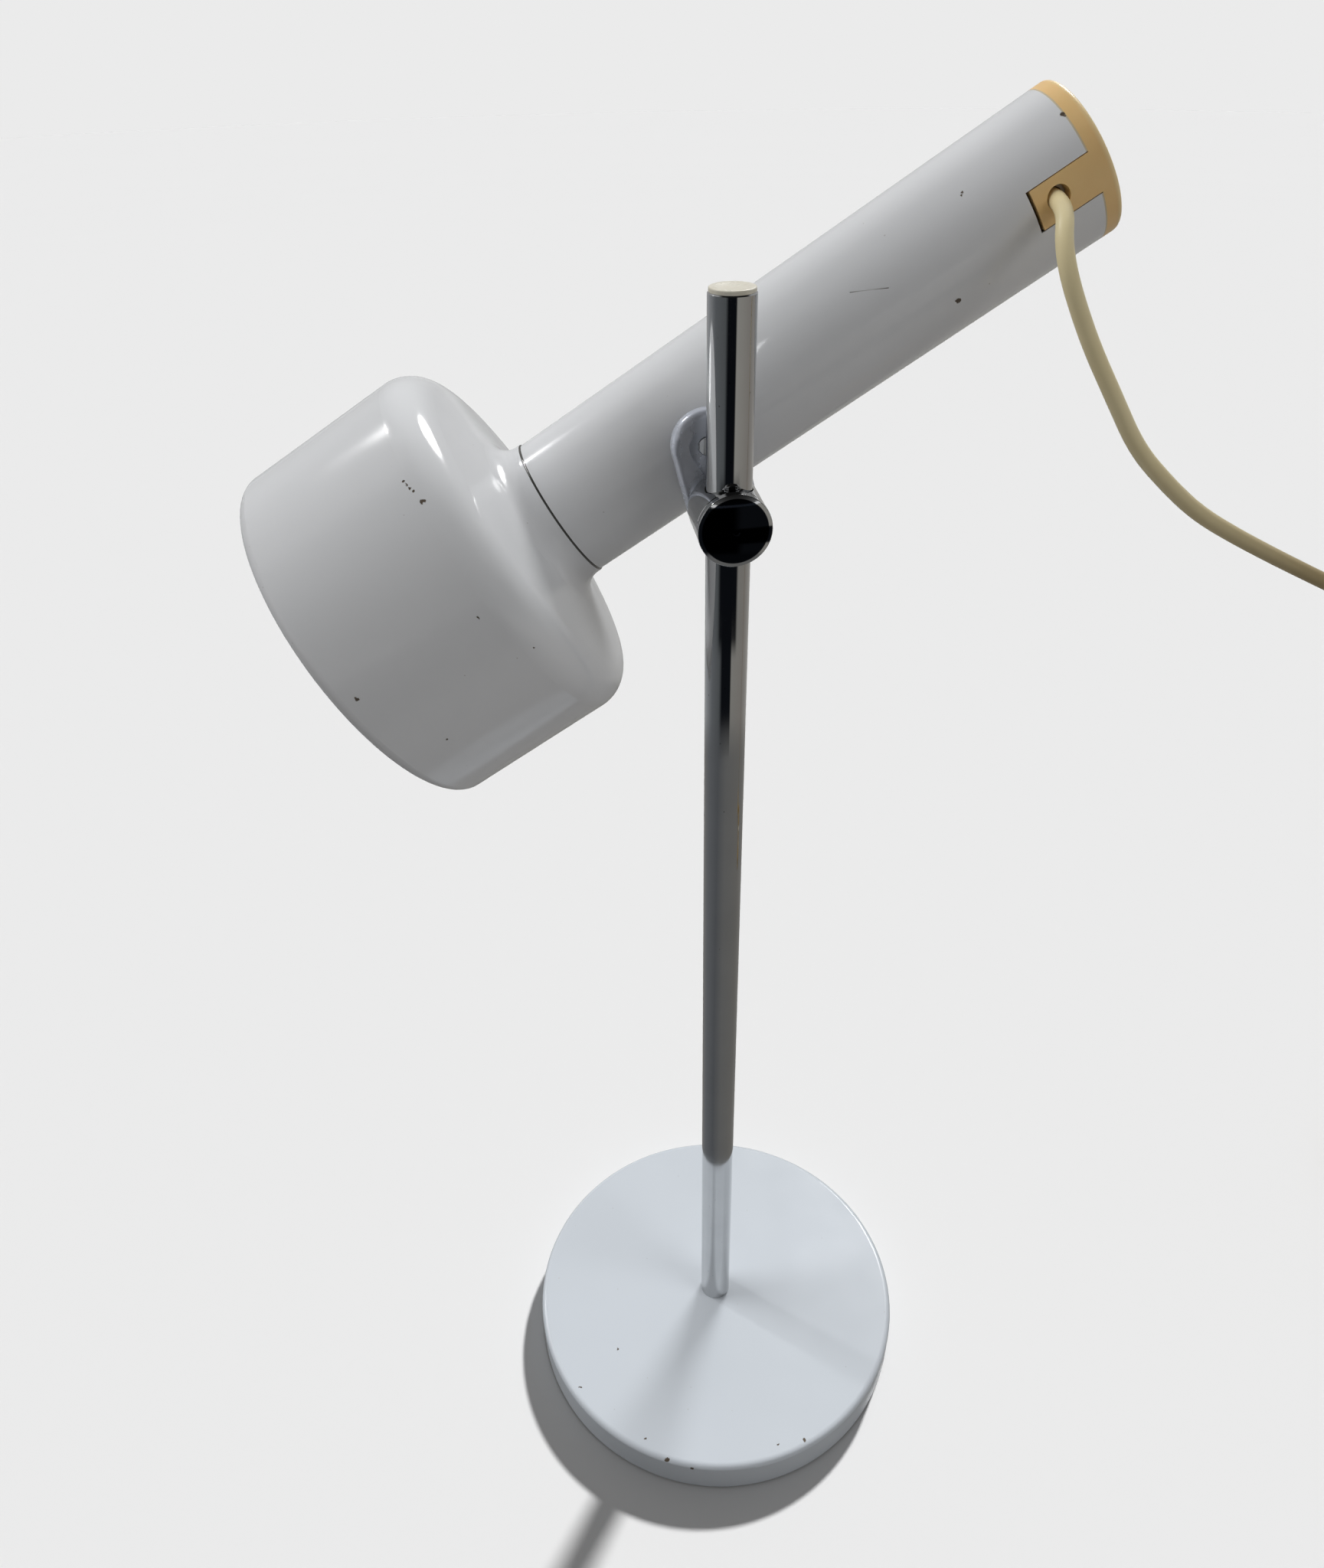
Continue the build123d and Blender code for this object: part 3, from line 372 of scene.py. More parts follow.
def bakedEnamel(settings, wear):
    # stove enamel on steel: a glassy off-white skin with faint orange peel, and chips down to dark primer
    material, tree, shader, place = startFinish(settings["name"])
    cloud = addNode(
        tree, "ShaderNodeTexNoise", {"Scale": 1000 / settings["cloud"], "Detail": 2.0}, {"Vector": place}
    )
    tone = addNode(
        tree, "ShaderNodeMix",
        {6: linear(settings["tones"][0]), 7: linear(settings["tones"][1])}, {0: cloud.outputs[0]},
        data_type="RGBA",
    )
    # the noise is a half on average, so the chips' centres move by half as far
    grain, moves = wear["ragged"]
    ragged = addNode(tree, "ShaderNodeTexNoise", {"Scale": 1000 / grain, "Detail": 3.0}, {"Vector": place})
    moved = addNode(
        tree, "ShaderNodeVectorMath", {1: [moves / 1000] * 3}, {0: ragged.outputs["Color"], 2: place},
        operation="MULTIPLY_ADD",
    ).outputs[0]
    depths = []
    for x, y, z, radius in settings["chips"]:
        centre = [(c + moves / 2) / 1000 for c in (x, y, z)]
        away = addNode(tree, "ShaderNodeVectorMath", {1: centre}, {0: moved}, operation="DISTANCE")
        depths.append(addNode(
            tree, "ShaderNodeMath", {1: radius / 1000}, {0: away.outputs["Value"]}, operation="SUBTRACT"
        ))
    for start, end, radius in settings["scratches"]:
        start, end = Vector(start) / 1000, Vector(end) / 1000
        run = end - start
        offset = addNode(tree, "ShaderNodeVectorMath", {1: start}, {0: place}, operation="SUBTRACT")
        along = addNode(
            tree, "ShaderNodeVectorMath", {1: run / run.length_squared}, {0: offset.outputs[0]},
            operation="DOT_PRODUCT",
        )
        held = addNode(tree, "ShaderNodeClamp", links={0: along.outputs["Value"]})
        spot = addNode(tree, "ShaderNodeVectorMath", {0: run}, {3: held.outputs[0]}, operation="SCALE")
        away = addNode(
            tree, "ShaderNodeVectorMath", links={0: offset.outputs[0], 1: spot.outputs[0]},
            operation="DISTANCE",
        )
        depths.append(addNode(
            tree, "ShaderNodeMath", {1: radius / 1000}, {0: away.outputs["Value"]}, operation="SUBTRACT"
        ))
    nearest = depths[0].outputs[0]
    for depth in depths[1:]:
        nearer = addNode(tree, "ShaderNodeMath", links={0: depth.outputs[0], 1: nearest}, operation="MINIMUM")
        nearest = nearer.outputs[0]
    chipped = addNode(
        tree, "ShaderNodeMapRange",
        {"From Min": wear["chipEdge"] / 1000, "From Max": -wear["chipEdge"] / 1000}, {"Value": nearest},
    ).outputs[0]
    nibs = addNode(tree, "ShaderNodeTexVoronoi", {"Scale": 1000 / wear["nibSpacing"]}, {"Vector": place})
    nib = addNode(
        tree, "ShaderNodeMapRange",
        {"From Min": wear["nibRadii"][0], "From Max": wear["nibRadii"][1], "To Max": wear["nibShare"]},
        {"Value": nibs.outputs["Distance"]},
    )
    speckled = addNode(
        tree, "ShaderNodeMix", {7: linear(wear["nibTone"])}, {0: nib.outputs[0], 6: tone.outputs[2]},
        data_type="RGBA",
    )
    enamelled = speckled.outputs[2]
    # the seams' lines: dirt with painted shade in the neck joint's gap, and the pale worn rear edge
    for at, half, colour in settings["seams"]:
        line = addNode(
            tree, "ShaderNodeMath", {1: at / 1000, 2: half / 1000}, {0: alongHead(tree, place)},
            operation="COMPARE",
        )
        enamelled = addNode(
            tree, "ShaderNodeMix", {7: linear(colour)}, {0: line.outputs[0], 6: enamelled}, data_type="RGBA"
        ).outputs[2]
    primer = addNode(tree, "ShaderNodeTexNoise", {"Scale": 1000 / wear["primerGrain"]}, {"Vector": place})
    bare = addNode(
        tree, "ShaderNodeMix", {6: linear(wear["primer"][0]), 7: linear(wear["primer"][1])},
        {0: primer.outputs[0]}, data_type="RGBA",
    )
    colour = addNode(
        tree, "ShaderNodeMix", links={0: chipped, 6: enamelled, 7: bare.outputs[2]}, data_type="RGBA"
    )
    tree.links.new(colour.outputs[2], shader.inputs["Base Color"])
    handled = addNode(
        tree, "ShaderNodeTexNoise", {"Scale": 1000 / wear["handled"], "Detail": 4.0}, {"Vector": place}
    )
    dull = addNode(
        tree, "ShaderNodeMapRange",
        {
            "From Min": wear["handledRange"][0], "From Max": wear["handledRange"][1],
            "To Min": settings["gloss"][0], "To Max": settings["gloss"][1],
        },
        {"Value": handled.outputs[0]},
    )
    rough = addNode(
        tree, "ShaderNodeMix", {3: wear["chipRoughness"]}, {0: chipped, 2: dull.outputs[0]}
    )
    tree.links.new(rough.outputs[0], shader.inputs["Roughness"])
    peel = addRelief(tree, place, settings["peel"], 1.0)
    pit = addNode(
        tree, "ShaderNodeBump", {"Distance": wear["chipDepth"] / 1000}, {"Height": chipped, "Normal": peel},
        invert=True,
    )
    tree.links.new(pit.outputs[0], shader.inputs["Normal"])
    return material


polished = {
    "name": "polishedChrome",
    "tones": ("D2D3D4", "BFC0C1"),
    "smudge": 22,           # patches of fingermarks, mm
    "smudgeRange": (0.45, 0.75),
    "gloss": (0.035, 0.13),
    "pitSpacing": 6,
    "pitRadii": (0.045, 0.02),      # where a pit begins and is full, as shares of the spacing
    "pitShare": 0.75,
    "pitTone": "4A4540",
    "hairlines": (0.35, 0.0009),    # apart and deep, mm, drawn a little coarse so that they show
    "stretch": (1, 1, 0.03),
    "paintedFaceReflection": None,
}
# the knob's face has a painted dark reflection within its polished rim
chromePaintedFace = dict(
    polished, name="chromePaintedFaceReflection", stretch=(1, 1, 1),
    paintedFaceReflection={"axis": (0.0, 0.0, 0.4265), "radius": 0.0101, "edge": 0.0001, "tone": "16191F"},
)


def chromePlate(settings):
    # bright chromium on polished steel: a mirror with hairlines along it, fingermarks and a few pits
    material, tree, shader, place = startFinish(settings["name"])
    shader.inputs["Metallic"].default_value = 1.0
    smudge = addNode(
        tree, "ShaderNodeTexNoise", {"Scale": 1000 / settings["smudge"], "Detail": 5.0}, {"Vector": place}
    )
    pits = addNode(tree, "ShaderNodeTexVoronoi", {"Scale": 1000 / settings["pitSpacing"]}, {"Vector": place})
    pit = addNode(
        tree, "ShaderNodeMapRange",
        {
            "From Min": settings["pitRadii"][0], "From Max": settings["pitRadii"][1],
            "To Max": settings["pitShare"],
        },
        {"Value": pits.outputs["Distance"]},
    )
    tone = addNode(
        tree, "ShaderNodeMix", {6: linear(settings["tones"][0]), 7: linear(settings["tones"][1])},
        {0: smudge.outputs[0]}, data_type="RGBA",
    )
    colour = addNode(
        tree, "ShaderNodeMix", {7: linear(settings["pitTone"])}, {0: pit.outputs[0], 6: tone.outputs[2]},
        data_type="RGBA",
    )
    shown = colour.outputs[2]
    # painted reflection: the knob's flat face is coloured near black where it would mirror the room's dark
    # side
    if settings["paintedFaceReflection"]:
        face = settings["paintedFaceReflection"]
        around = addNode(tree, "ShaderNodeVectorMath", {1: face["axis"]}, {0: place}, operation="SUBTRACT")
        flat = addNode(
            tree, "ShaderNodeVectorMath", {1: (1, 0, 1)}, {0: around.outputs[0]}, operation="MULTIPLY"
        )
        reach = addNode(tree, "ShaderNodeVectorMath", links={0: flat.outputs[0]}, operation="LENGTH")
        inside = addNode(
            tree, "ShaderNodeMapRange",
            {"From Min": face["radius"] + face["edge"], "From Max": face["radius"] - face["edge"]},
            {"Value": reach.outputs["Value"]},
        )
        shown = addNode(
            tree, "ShaderNodeMix", {7: linear(face["tone"])}, {0: inside.outputs[0], 6: shown},
            data_type="RGBA",
        ).outputs[2]
    tree.links.new(shown, shader.inputs["Base Color"])
    dull = addNode(
        tree, "ShaderNodeMapRange",
        {
            "From Min": settings["smudgeRange"][0], "From Max": settings["smudgeRange"][1],
            "To Min": settings["gloss"][0], "To Max": settings["gloss"][1],
        },
        {"Value": smudge.outputs[0]},
    )
    tree.links.new(dull.outputs[0], shader.inputs["Roughness"])
    drawn = addNode(tree, "ShaderNodeMapping", {"Scale": settings["stretch"]}, {"Vector": place})
    hairlines = addRelief(tree, drawn.outputs[0], settings["hairlines"], 2.0)
    tree.links.new(hairlines, shader.inputs["Normal"])
    return material


agedCap = {
    "name": "yellowedCapPlastic",
    "tones": ("F6D59A", "ECC07E"),
    # the pale edge colour is a painted highlight on the cap's rear rim, from where it begins along the head
    "edge": "F0D9A6",
    "rim": 0.1353,          # along the head, where the outer edge begins
    "rimFade": 0.0012,
    "rimHighlightShare": 0.8,
    "cloud": 14,            # patches of tone, mm
    "grain": (0.5, 0.006),  # the moulded grain, wide and deep, mm
    "gloss": (0.28, 0.42),
    "through": (0.05, 0.001),   # the share of light that enters, and how far, m
}


def yellowedPlastic(settings):
    # moulded urea plastic, gone from cream to tan with heat and light, with a painted highlight along its
    # rear rim
    material, tree, shader, place = startFinish(settings["name"])
    cloud = addNode(
        tree, "ShaderNodeTexNoise", {"Scale": 1000 / settings["cloud"], "Detail": 5.0}, {"Vector": place}
    )
    tone = addNode(
        tree, "ShaderNodeMix", {6: linear(settings["tones"][0]), 7: linear(settings["tones"][1])},
        {0: cloud.outputs[0]}, data_type="RGBA",
    )
    # painted highlight: paler from the rear rim onwards
    paintedRimHighlight = addNode(
        tree, "ShaderNodeMapRange",
        {
            "From Min": settings["rim"] - settings["rimFade"], "From Max": settings["rim"],
            "To Max": settings["rimHighlightShare"],
        },
        {"Value": alongHead(tree, place)},
    )
    colour = addNode(
        tree, "ShaderNodeMix", {7: linear(settings["edge"])}, {0: paintedRimHighlight.outputs[0], 6: tone.outputs[2]},
        data_type="RGBA",
    )
    tree.links.new(colour.outputs[2], shader.inputs["Base Color"])
    dull = addNode(
        tree, "ShaderNodeMapRange", {"To Min": settings["gloss"][0], "To Max": settings["gloss"][1]},
        {"Value": cloud.outputs[0]},
    )
    tree.links.new(dull.outputs[0], shader.inputs["Roughness"])
    tree.links.new(addRelief(tree, place, settings["grain"], 3.0), shader.inputs["Normal"])
    shader.inputs["Subsurface Weight"].default_value = settings["through"][0]
    shader.inputs["Subsurface Scale"].default_value = settings["through"][1]
    return material


agedCord = {
    "name": "beigeCordVinyl",
    "unshaded": ("F3E6BC", "E6D6A6"),
    # painted shade: the darker tones the cord takes on towards the table, between the fades along X
    "paintedShade": ("9C8658", "846D44"),
    "fades": (0.10, 0.235),     # along X, from the head outwards
    "cloud": 16,            # patches of tone, mm
    "grain": (0.6, 0.010),  # the extruded skin, wide and deep, mm
    "gloss": (0.26, 0.42),
}


def agedVinyl(settings):
    # two-core PVC cord: beige and satin, with painted shade that darkens it along X from the head towards the
    # table
    material, tree, shader, place = startFinish(settings["name"])
    cloud = addNode(
        tree, "ShaderNodeTexNoise", {"Scale": 1000 / settings["cloud"], "Detail": 4.0}, {"Vector": place}
    )
    tones = []
    for key in ("unshaded", "paintedShade"):
        tone = addNode(
            tree, "ShaderNodeMix", {6: linear(settings[key][0]), 7: linear(settings[key][1])},
            {0: cloud.outputs[0]}, data_type="RGBA",
        )
        tones.append(tone.outputs[2])
    across = addNode(tree, "ShaderNodeSeparateXYZ", links={0: place})
    # painted shade, darker along X from the head towards the table
    paintedShade = addNode(
        tree, "ShaderNodeMapRange", {"From Min": settings["fades"][0], "From Max": settings["fades"][1]},
        {"Value": across.outputs[0]}, interpolation_type="SMOOTHSTEP",
    )
    colour = addNode(
        tree, "ShaderNodeMix", links={0: paintedShade.outputs[0], 6: tones[0], 7: tones[1]}, data_type="RGBA"
    )
    tree.links.new(colour.outputs[2], shader.inputs["Base Color"])
    dull = addNode(
        tree, "ShaderNodeMapRange", {"To Min": settings["gloss"][0], "To Max": settings["gloss"][1]},
        {"Value": cloud.outputs[0]},
    )
    tree.links.new(dull.outputs[0], shader.inputs["Roughness"])
    tree.links.new(addRelief(tree, place, settings["grain"], 3.0), shader.inputs["Normal"])
    return material


# name, two tones, patch size mm, grain size and depth mm, roughness range, metallic, IOR
plainFinishes = {
    # grey cast iron as it leaves the sand: dark, dull and pitted
    "cast_iron": ("sandCastIron", "3B3A39", "55504B", 9, 0.9, 0.12, (0.55, 0.8), 0.9, 1.5),
    # bright zinc on turned steel: bluish grey with a spangle
    "steel": ("zincPlatedSteel", "A9ADB2", "8E9398", 3, 0.25, 0.004, (0.25, 0.42), 1.0, 1.5),
    # zinc casting with satin chrome: bluish grey, softly blurred
    "satin_chrome": ("satinChromeCasting", "E4E8F2", "D2D7E2", 8, 0.7, 0.012, (0.22, 0.32), 0.5, 1.5),
    # injection-moulded cream polystyrene: satin, a little grubby
    "pale_plastic": ("creamPolystyrene", "E4E0D2", "D2CCBA", 6, 0.4, 0.005, (0.25, 0.4), 0.0, 1.59),
    # natural nylon: milky and waxy
    "nylon": ("naturalNylon", "DAD6C8", "CFC9B8", 5, 0.5, 0.006, (0.35, 0.5), 0.0, 1.53),
    # vulcanised fibre: red-brown, matt, with a paper tooth
    "fibre": ("redFibre", "7A3226", "5E241B", 2, 0.3, 0.010, (0.6, 0.75), 0.0, 1.5),
    # glazed electrical porcelain: white with fine specks
    "porcelain": ("glazedPorcelain", "EDEBE4", "E0DDD3", 8, 3.0, 0.010, (0.08, 0.2), 0.0, 1.54),
    # pressed brass, lightly tarnished
    "brass": ("pressedBrass", "C9A24E", "9C7A38", 4, 0.3, 0.003, (0.2, 0.4), 1.0, 1.5),
    # thin rolled aluminium, satin
    "bulb_metal": ("thinAluminium", "C4C5C6", "B0B1B2", 5, 0.2, 0.003, (0.28, 0.4), 1.0, 1.5),
    # PVC insulation, blue
    "wire_blue": ("bluePvc", "1F4C8F", "193F78", 6, 0.5, 0.004, (0.4, 0.55), 0.0, 1.53),
    # PVC insulation, brown
    "wire_brown": ("brownPvc", "5A3320", "492818", 6, 0.5, 0.004, (0.4, 0.55), 0.0, 1.53),
    # kraft paper band over a wire: off-white, fibrous, matt
    "paper": ("paperBand", "DDD8C8", "C9C2AE", 1.5, 0.2, 0.012, (0.75, 0.9), 0.0, 1.45),
    # opal glass, white through its thickness and shiny outside
    "opal_glass": ("opalGlass", "F3F1EA", "EAE7DE", 12, 4.0, 0.004, (0.05, 0.12), 0.0, 1.52),
    # pressed wool felt, dark green, all fibre
    "felt": ("greenFelt", "2A3A2E", "1C2820", 1.1, 0.22, 0.09, (0.92, 1.0), 0.0, 1.4),
}
patchRange = (0.3, 0.7)     # the noise's values between which a patch turns from light to dark
feltSheen = {"Sheen Weight": 0.6, "Sheen Roughness": 0.5}


def mottledFinish(words):
    name, light, dark, patch, grainSize, grainDepth, gloss, metal, ior = words
    material, tree, shader, place = startFinish(name)
    shader.inputs["Metallic"].default_value = metal
    if not metal:
        shader.inputs["IOR"].default_value = ior
    patches = addNode(tree, "ShaderNodeTexNoise", {"Scale": 1000 / patch, "Detail": 4.0}, {"Vector": place})
    spread = addNode(
        tree, "ShaderNodeMapRange", {"From Min": patchRange[0], "From Max": patchRange[1]},
        {"Value": patches.outputs[0]},
    )
    tone = addNode(
        tree, "ShaderNodeMix", {6: linear(light), 7: linear(dark)}, {0: spread.outputs[0]}, data_type="RGBA"
    )
    tree.links.new(tone.outputs[2], shader.inputs["Base Color"])
    dull = addNode(
        tree, "ShaderNodeMapRange", {"To Min": gloss[0], "To Max": gloss[1]}, {"Value": spread.outputs[0]}
    )
    tree.links.new(dull.outputs[0], shader.inputs["Roughness"])
    tree.links.new(addRelief(tree, place, (grainSize, grainDepth), 3.0), shader.inputs["Normal"])
    if name == "greenFelt":
        for socket, value in feltSheen.items():
            shader.inputs[socket].default_value = value
    return material


finishes = {slot: mottledFinish(words) for slot, words in plainFinishes.items()}
finishes["chrome"] = chromePlate(polished)
finishes["cap_plastic"] = yellowedPlastic(agedCap)
finishes["enamel"] = bakedEnamel(headEnamel, enamelWear)
finishes["cord_vinyl"] = agedVinyl(agedCord)
# the pieces whose finish isn't that of their slot
ownFinishes = {
    "base_cover": bakedEnamel(baseEnamel, enamelWear),
    "swing_arm": finishes["satin_chrome"],
    "knob": chromePlate(chromePaintedFace),
}

for part in frame["record"]["subparts"]:
    piece = nodes[part["node"]]
    finish = ownFinishes.get(part["node"], finishes[part["material_slot"]])
    if not piece.material_slots:
        piece.data.materials.append(finish)
    for slot in piece.material_slots:
        slot.material = finish
print("stage: finishes")


# the mains cord

# the corners of the cord's route in millimetres, from inside the rear cap down to the table
leadRoute = [
    (96.57, 26.03, 507.92), (96.05, 9.96, 508.77),
    (91.2, -3.3, 497.0), (100.3, -7.8, 476.4), (110.6, -11.3, 459.3), (120.0, -12.9, 444.5),
    (131.5, -13.7, 433.5), (143.9, -14.0, 423.4), (158.7, -14.2, 414.9), (175.4, -14.5, 406.3),
    (193.9, -14.9, 397.2), (213.9, -15.2, 387.6), (234.0, -15.6, 375.6), (252.8, -16.2, 359.4),
    (269.4, -17.0, 338.4), (283.4, -17.8, 312.2), (295.0, -18.4, 281.0), (304.6, -19.0, 246.0),
    (314.0, -21.0, 208.6), (324.0, -26.0, 170.0), (334.5, -33.0, 132.2), (345.5, -40.0, 97.0),
    (355.5, -43.0, 65.2), (362.5, -38.5, 37.0), (364.2, -21.0, 14.0), (364.4, 0.0, 3.45),
]
cordCoil = {
    "start": (364.4, 17.0),
    "outer": 35.4,
    "step": 2.8,            # each half turn lies that much further in or out
    "halfTurns": 6,         # in each of two layers, besides the one that climbs
    "low": 3.45,            # heights of the two layers
    "high": 9.05,
    "perHalfTurn": 8,
}
cordTail = [(435.2, 7.0, 9.05), (435.2, -11.0, 6.8), (435.2, -36.0, 6.8)]
cord = {
    "diameter": 5.0,
    "sides": 28,
    "resolution": 9,        # points that the spline gives for each of its own
    "exit": (96.24, 15.55, 508.48),
    # where one piece of the cord ends and the next begins
    "partings": (
        (131.5, -13.7, 433.5), (175.4, -14.5, 406.3), (295.0, -18.4, 281.0), (364.4, 12.0, 3.45),
    ),
    "bodies": ("head", "arm", "clamp", "slider", "stand"),
}


# half turns of shrinking and growing reach, as corners for the spline
def coilRoute(settings):
    x, y = settings["start"]
    middle = x + settings["outer"]
    last = 2 * settings["halfTurns"] + 1
    ends = []
    for n in range(last + 1):
        reach = settings["outer"] - 2 * settings["step"] * (min(n, last - n) // 2)
        height = settings["low"] if n <= settings["halfTurns"] else settings["high"]
        ends.append(Vector((middle + (reach if n % 2 else -reach), y, height)))
    count = settings["perHalfTurn"]
    route = []
    for n, (start, end) in enumerate(zip(ends[:-1], ends[1:])):
        centre = (start + end) / 2
        radius = (end - start).length / 2 / math.cos(math.pi / 2 / count)
        outward = (start - centre).normalized()
        sideways = Vector((0, -1 if n % 2 else 1, 0))
        for k in range(count):
            angle = math.pi * (k + 0.5) / count
            route.append(centre + (outward * math.cos(angle) + sideways * math.sin(angle)) * radius)
    return route


# the points of a smooth line that a route's corners lead
def splineLine(route, resolution):
    curve = bpy.data.curves.new("cordRoute", "CURVE")
    curve.dimensions = "3D"
    curve.resolution_u = resolution
    spline = curve.splines.new("NURBS")
    spline.points.add(len(route) - 1)
    for point, corner in zip(spline.points, route):
        point.co = (*(Vector(corner) / 1000), 1)
    spline.order_u = 3
    spline.use_endpoint_u = True
    holder = newPiece("cordRoute", curve)
    bpy.context.view_layer.update()
    mesh = bpy.data.meshes.new_from_object(holder.evaluated_get(bpy.context.evaluated_depsgraph_get()))
    line = [vertex.co.copy() for vertex in mesh.vertices]
    bpy.data.objects.remove(holder)
    bpy.data.curves.remove(curve)
    bpy.data.meshes.remove(mesh)
    return line


# the tree that wraps a round skin about a line of points
def makeCordSkin():
    tree = bpy.data.node_groups.new("cordSkin", "GeometryNodeTree")
    tree.interface.new_socket("Geometry", in_out="INPUT", socket_type="NodeSocketGeometry")
    inputs = (("Radius", "NodeSocketFloat"), ("Sides", "NodeSocketInt"), ("Finish", "NodeSocketMaterial"))
    for name, kind in inputs:
        tree.interface.new_socket(name, in_out="INPUT", socket_type=kind)
    tree.interface.new_socket("Geometry", in_out="OUTPUT", socket_type="NodeSocketGeometry")
    given = addNode(tree, "NodeGroupInput")
    line = addNode(tree, "GeometryNodeMeshToCurve", links={"Mesh": given.outputs["Geometry"]})
    ring = addNode(
        tree, "GeometryNodeCurvePrimitiveCircle",
        links={"Resolution": given.outputs["Sides"], "Radius": given.outputs["Radius"]},
    )
    skin = addNode(
        tree, "GeometryNodeCurveToMesh", {"Fill Caps": True},
        {"Curve": line.outputs[0], "Profile Curve": ring.outputs["Curve"]},
    )
    plain = addNode(tree, "GeometryNodeRealizeInstances", links={0: skin.outputs[0]})
    coated = addNode(
        tree, "GeometryNodeSetMaterial",
        links={"Geometry": plain.outputs[0], "Material": given.outputs["Finish"]},
    )
    addNode(tree, "NodeGroupOutput", links={0: coated.outputs[0]})
    return tree


# normals outwards, and the mesh takes the shape
def closeShape(shape, mesh):
    bmesh.ops.recalc_face_normals(shape, faces=shape.faces)
    shape.to_mesh(mesh)
    shape.free()


# a plain mesh from what a tree makes of a source mesh
def grown(name, source, tree, inputs):
    piece = newPiece(name, source)
    modifier = piece.modifiers.new("grow", "NODES")
    modifier.node_group = tree
    for item in tree.interface.items_tree:
        if item.item_type == "SOCKET" and item.in_out == "INPUT" and item.name in inputs:
            modifier[item.identifier] = inputs[item.name]
    bpy.context.view_layer.update()
    mesh = bpy.data.meshes.new_from_object(piece.evaluated_get(bpy.context.evaluated_depsgraph_get()))
    piece.modifiers.clear()
    piece.data = mesh
    mesh.name = name
    shape = bmesh.new()
    shape.from_mesh(mesh)
    for face in shape.faces:
        face.smooth = len(face.verts) == 4
    closeShape(shape, mesh)
    return piece


def makeCord():
    line = splineLine(leadRoute + coilRoute(cordCoil) + cordTail, cord["resolution"])
    cuts = [0]
    for parting in cord["partings"]:
        spot = Vector(parting) / 1000
        cuts.append(min(range(len(line)), key=lambda n: (line[n] - spot).length))
    cuts.append(len(line) - 1)
    skin = makeCordSkin()
    pieces = []
    for n, (first, last) in enumerate(zip(cuts[:-1], cuts[1:])):
        path = line[first:last + 1]
        mesh = bpy.data.meshes.new("cordLine")
        mesh.from_pydata(path, [(k, k + 1) for k in range(len(path) - 1)], [])
        inputs = {"Radius": cord["diameter"] / 2000, "Sides": cord["sides"], "Finish": finishes["cord_vinyl"]}
        name = f"cord_lead_{n + 1}" if n < len(cord["partings"]) else "cord_coiled"
        pieces.append((grown(name, mesh, skin, inputs), path))
    return pieces


def runLength(path):
    return sum((b - a).length for a, b in zip(path[:-1], path[1:]))


*leadPieces, (coilPiece, coilPath) = makeCord()
for n, (piece, path) in enumerate(leadPieces):
    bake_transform(piece)
    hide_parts("cord_lead")
lengths = [runLength(path) for piece, path in leadPieces] + [runLength(coilPath)]
print("stage: cord, metres in each piece", [round(length, 3) for length in lengths])


# the tie round the coil

coilTie = {
    "middle": (399.8, 44.0, 6.25),
    "inside": (22.5, 11.3),     # along Y and Z, round all the turns
    "corner": 2.0,
    "cornerSteps": 6,
    # across the band and out from the turns: its inner face, then the outer one with the wire's rib
    "section": (
        (-2.5, 0.1), (-2.3, 0.0), (2.3, 0.0), (2.5, 0.1), (2.5, 0.3), (2.2, 0.36), (0.9, 0.34), (0.45, 0.5),
        (0.0, 0.6), (-0.45, 0.5), (-0.9, 0.34), (-2.2, 0.36), (-2.5, 0.3),
    ),
    "creases": (0.06, 0.9),     # height, and how close together
    "waver": 0.03,              # share of the width
}


# a loop of rounded corners in the YZ plane
def tieLoop(settings, out):
    halfWide, halfHigh = (size / 2 + out for size in settings["inside"])
    radius = settings["corner"] + out
    steps = settings["cornerSteps"]
    loop = []
    for quarter, (signY, signZ) in enumerate(((1, 1), (-1, 1), (-1, -1), (1, -1))):
        for k in range(steps + 1):
            angle = math.pi / 2 * (quarter + k / steps)
            y = signY * (halfWide - radius) + radius * math.cos(angle)
            z = signZ * (halfHigh - radius) + radius * math.sin(angle)
            loop.append((y, z))
    return loop


# smooth quads between two rings of equally many corners
def bridge(shape, ring, other):
    for k in range(len(ring)):
        after = (k + 1) % len(ring)
        shape.faces.new((ring[k], ring[after], other[after], other[k])).smooth = True


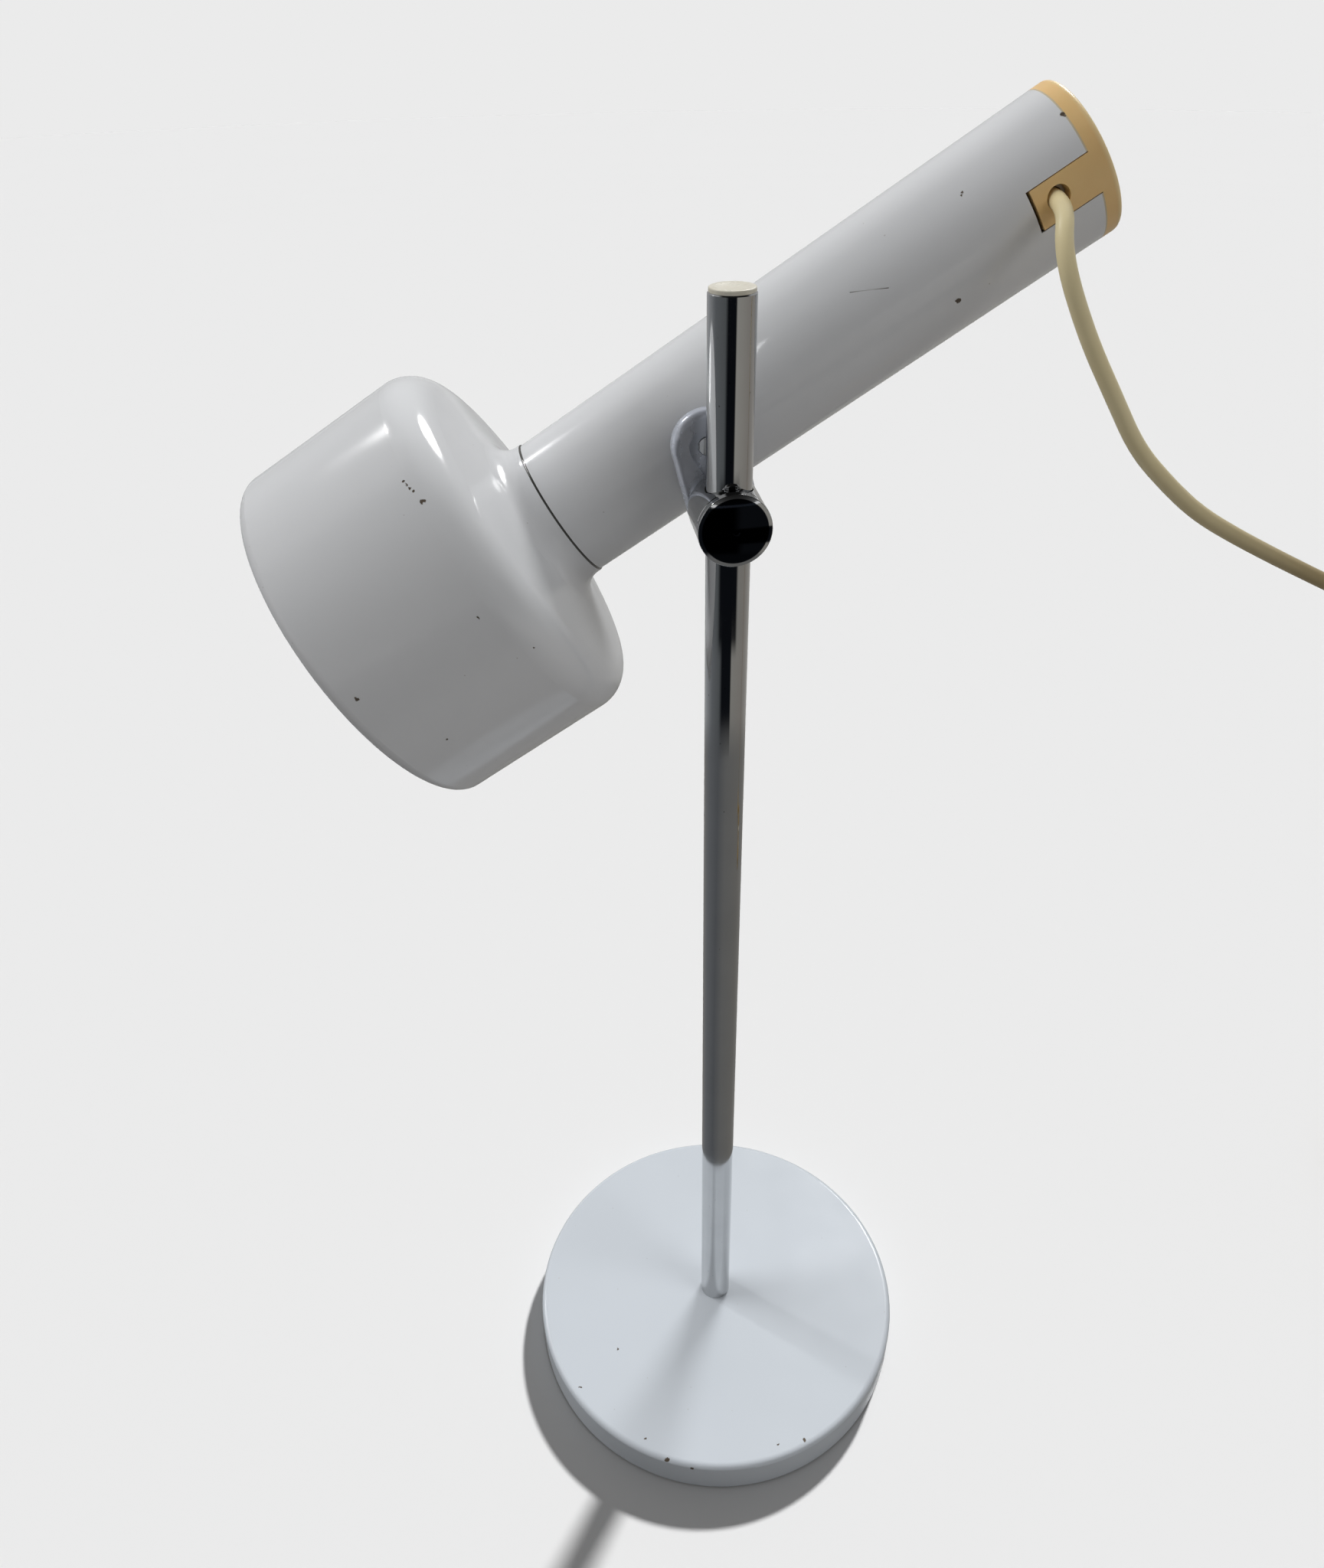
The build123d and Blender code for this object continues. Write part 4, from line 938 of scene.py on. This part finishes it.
def makeTie(settings):
    mesh = bpy.data.meshes.new("coil_tie_band")
    shape = bmesh.new()
    high, close = settings["creases"]
    rings = []
    for across, out in settings["section"]:
        ring = []
        for k, (y, z) in enumerate(tieLoop(settings, out)):
            crease = high * noise.noise(Vector((across, y, z)) * close)
            spot = Vector((across * (1 + settings["waver"] * math.sin(k)), y, z + crease))
            ring.append(shape.verts.new((spot + Vector(settings["middle"])) / 1000))
        rings.append(ring)
    for ring, other in zip(rings, rings[1:] + rings[:1]):
        bridge(shape, ring, other)
    closeShape(shape, mesh)
    mesh.materials.append(finishes["paper"])
    return newPiece("coil_tie_band", mesh)


tie = makeTie(coilTie)
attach(tie, "stand")
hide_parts("coil_tie")

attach(coilPiece, "stand")
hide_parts("cord_coil")


# the felt pad under the base

feltPad = {
    "radius": 85.5,
    "thickness": 2.5,
    "edge": 0.7,
    "edgeSteps": 8,
    "lumps": ((0.12, 0.35), (0.048, 1.7)),      # height, and how close together
    "around": 160,      # corners in each ring
    "across": 36,       # rings from the middle to the edge
}


def makeFelt(settings):
    radius, thickness, edge = settings["radius"], settings["thickness"], settings["edge"]
    # the outline from the underside's middle, round the soft edge, to the top's middle
    outline = [(radius - edge) * k / settings["across"] for k in range(1, settings["across"] + 1)]
    line = [(r, 0.0) for r in outline]
    for k in range(1, settings["edgeSteps"]):
        angle = -math.pi / 2 + math.pi * k / settings["edgeSteps"]
        line.append((radius - edge + edge * math.cos(angle), thickness / 2 * (1 + math.sin(angle))))
    line += [(r, thickness) for r in reversed(outline)]
    mesh = bpy.data.meshes.new("felt_pad")
    shape = bmesh.new()
    rings = []
    for r, z in line:
        inward = 1 if z < thickness / 2 else -1
        ring = []
        for k in range(settings["around"]):
            angle = 2 * math.pi * k / settings["around"]
            spot = Vector((r * math.cos(angle), r * math.sin(angle), z))
            lump = abs(sum(high * noise.noise(spot * close) for high, close in settings["lumps"]))
            ring.append(shape.verts.new((spot + Vector((0, 0, inward * lump))) / 1000))
        rings.append(ring)
    for ring, other in zip(rings[:-1], rings[1:]):
        bridge(shape, ring, other)
    for ring, z in ((rings[0], 0.0), (rings[-1], thickness)):
        middle = shape.verts.new((0, 0, z / 1000))
        for k in range(len(ring)):
            shape.faces.new((ring[k], ring[(k + 1) % len(ring)], middle)).smooth = True
    closeShape(shape, mesh)
    mesh.materials.append(finishes["felt"])
    return newPiece("felt_pad", mesh)


felt = makeFelt(feltPad)
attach(felt, "stand")
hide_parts("base_pad")
print("stage: felt pad")
